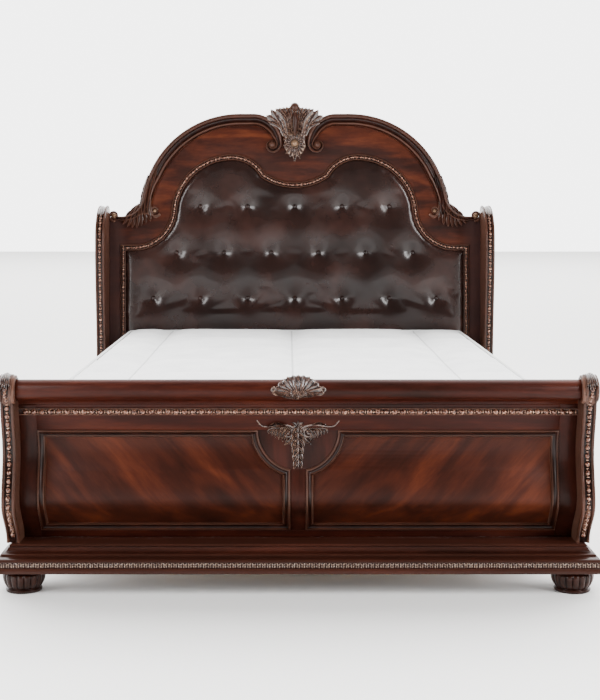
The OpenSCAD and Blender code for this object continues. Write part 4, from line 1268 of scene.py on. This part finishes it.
tape, nodes, shader = new_material("white_woven_tape")
shader.inputs["Base Color"].default_value = linear("#dcdcdb")
shader.inputs["Roughness"].default_value = 0.8
bm = bmesh.new()
edge_in = Vector((2 * MM, 2 * MM))
flat_low, flat_high = Vector(bed_low[:2]) + edge_in, Vector(bed_high[:2]) - edge_in
corners = []
for cx, cy, start in ((flat_high.x - corner_r, flat_high.y - corner_r, 0),
                      (flat_low.x + corner_r, flat_high.y - corner_r, 90),
                      (flat_low.x + corner_r, flat_low.y + corner_r, 180),
                      (flat_high.x - corner_r, flat_low.y + corner_r, 270)):
    corners += arc((cx, cy), corner_r, start, start + 90, 6)
cord = in_mm(*[(4.5 * cos(tau * k / 8), 4.5 * sin(tau * k / 8)) for k in range(8)])
for z in (bed_low.z + 8 * MM, bed_high.z - 8 * MM):
    moulding(bm, corners, cord, lambda p, h: Vector((p.x, p.y, z + h)), closed=True)
piece("mattress_tape_edge", bm, tape, "mattress")


# ---- Rails, deck and fittings ----
# The side rails are stained like the frame. The slats, their cleats, the centre beam and its legs are plain
# planed pine. The rails hang on zinc-plated hook plates, and the support legs stand on levelling feet.
cherry_lengthwise = stained_wood("stained_cherry_lengthwise", "#260f0a", "#3f1a12", "#5c2a1b",
                                 fibre=(1, 8, 1), wear_and_highlight_amount=0)
pine_across = stained_wood("planed_pine_across", "#a98450", "#c39c66", "#d8b884", fibre=(8, 1, 1), gloss=0.55,
                           wear_and_highlight_amount=0)
pine_lengthwise = stained_wood("planed_pine_lengthwise", "#a98450", "#c39c66", "#d8b884", fibre=(1, 8, 1),
                               gloss=0.55, wear_and_highlight_amount=0)
stained_sheet = stained_wood("stained_back_sheet", "#241210", "#33190f", "#452417", fibre=(6, 1, 1),
                             gloss=0.5, wear_and_highlight_amount=0)


def plain_finish(name, colour, metallic, roughness):
    material, nodes, shader = new_material(name)
    shader.inputs["Base Color"].default_value = linear(colour)
    shader.inputs["Metallic"].default_value = metallic
    uneven = add(nodes, "ShaderNodeTexNoise", {"Scale": 60.0, "Detail": 3.0}, Vector=object_position(nodes))
    spread = add(nodes, "ShaderNodeMapRange", {"To Min": roughness - 0.06, "To Max": roughness + 0.08},
                 Value=uneven.outputs[0])
    material.node_tree.links.new(spread.outputs[0], shader.inputs["Roughness"])
    return material


zinc_plate = plain_finish("zinc_plated_steel", "#b4b6b8", 1.0, 0.36)
turned_brass = plain_finish("turned_brass", "#c09a52", 1.0, 0.30)
black_nylon = plain_finish("black_nylon", "#161616", 0.0, 0.50)
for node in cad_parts:
    if node.startswith("side_rail"):
        finish_board(node, cherry_lengthwise, 3 * MM)
    elif node in ("slats", "beam_hangers") or node.startswith("support_leg"):
        finish_board(node, pine_across)
    elif node == "centre_beam" or node.startswith("slat_cleat"):
        finish_board(node, pine_lengthwise)
    elif node.endswith("backboard"):
        finish_board(node, stained_sheet)
    elif node.startswith(("headboard_leg", "footboard_leg")):
        finish_board(node, cherry_upright, 2 * MM)
    elif node == "headboard_bottom_rail":
        finish_board(node, cherry_across)
    elif node in ("rail_hook_plates", "post_slot_plates", "slat_screws"):
        finish_board(node, zinc_plate, 0.4 * MM)
    elif node == "leveller_inserts":
        finish_board(node, turned_brass, 0.3 * MM)
    elif node == "headboard_glides" or node.startswith("leveller_"):
        finish_board(node, black_nylon, 0.6 * MM)


# ---- Floor, light and finish ----
# A pale studio floor, two upright strip lights in front and to the sides, and broad lights overhead. The
# overhead lights are filtered out of reflections, so that only the strips show in the lacquer and leather.
bm = bmesh.new()
bmesh.ops.create_grid(bm, x_segments=1, y_segments=1, size=30)
floor_mesh = bpy.data.meshes.new("studio_floor")
bm.to_mesh(floor_mesh)
bm.free()
floor = bpy.data.objects.new("studio_floor", floor_mesh)
scene.collection.objects.link(floor)
floor_material, nodes, shader = new_material("studio_floor_paint")
shader.inputs["Base Color"].default_value = linear("#f6f5f3")
shader.inputs["Roughness"].default_value = 0.9
floor_mesh.materials.append(floor_material)
floor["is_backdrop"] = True

# The room is white beyond the bed and falls off to grey overhead and behind the camera, so that the dark
# lacquer reflects a dim room and keeps its depth.
scene.world = scene.world or bpy.data.worlds.new("studio")
scene.world.use_nodes = True
nodes = scene.world.node_tree.nodes
way = add(nodes, "ShaderNodeSeparateXYZ", _0=add(nodes, "ShaderNodeTexCoord").outputs["Generated"])
behind = add(nodes, "ShaderNodeMapRange", {"From Min": -0.05, "From Max": 0.5, "To Min": 0.25, "To Max": 5.0},
             Value=way.outputs["Y"])
scene.world.node_tree.links.new(behind.outputs[0], nodes["Background"].inputs["Strength"])
nodes["Background"].inputs["Color"].default_value = linear("#ffffff")


def soft_light(name, place, target, size, power, reflected=False):
    data = bpy.data.lights.new(name, "AREA")
    data.shape = "RECTANGLE"
    data.size, data.size_y = size
    data.energy = power
    light = bpy.data.objects.new(name, data)
    light.location = place
    light.visible_glossy = reflected
    light.rotation_euler = (Vector(target) - Vector(place)).to_track_quat("-Z", "Y").to_euler()
    scene.collection.objects.link(light)


soft_light("key", (3.6, -3.4, 2.0), (0, 0, 0.8), (0.8, 2.4), 190, reflected=True)
soft_light("fill", (-3.6, -3.4, 1.8), (0, 0, 0.7), (0.8, 2.4), 150, reflected=True)
soft_light("top", (0, 1.6, 5.5), (0, 0.4, 0), (7.0, 4.0), 520)
soft_light("floor_front", (0, -3.4, 4.6), (0, -3.6, 0), (8.0, 1.6), 200)
soft_light("floor_far", (0, 15, 9), (0, 15, 0), (30, 20), 6200)

low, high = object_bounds()
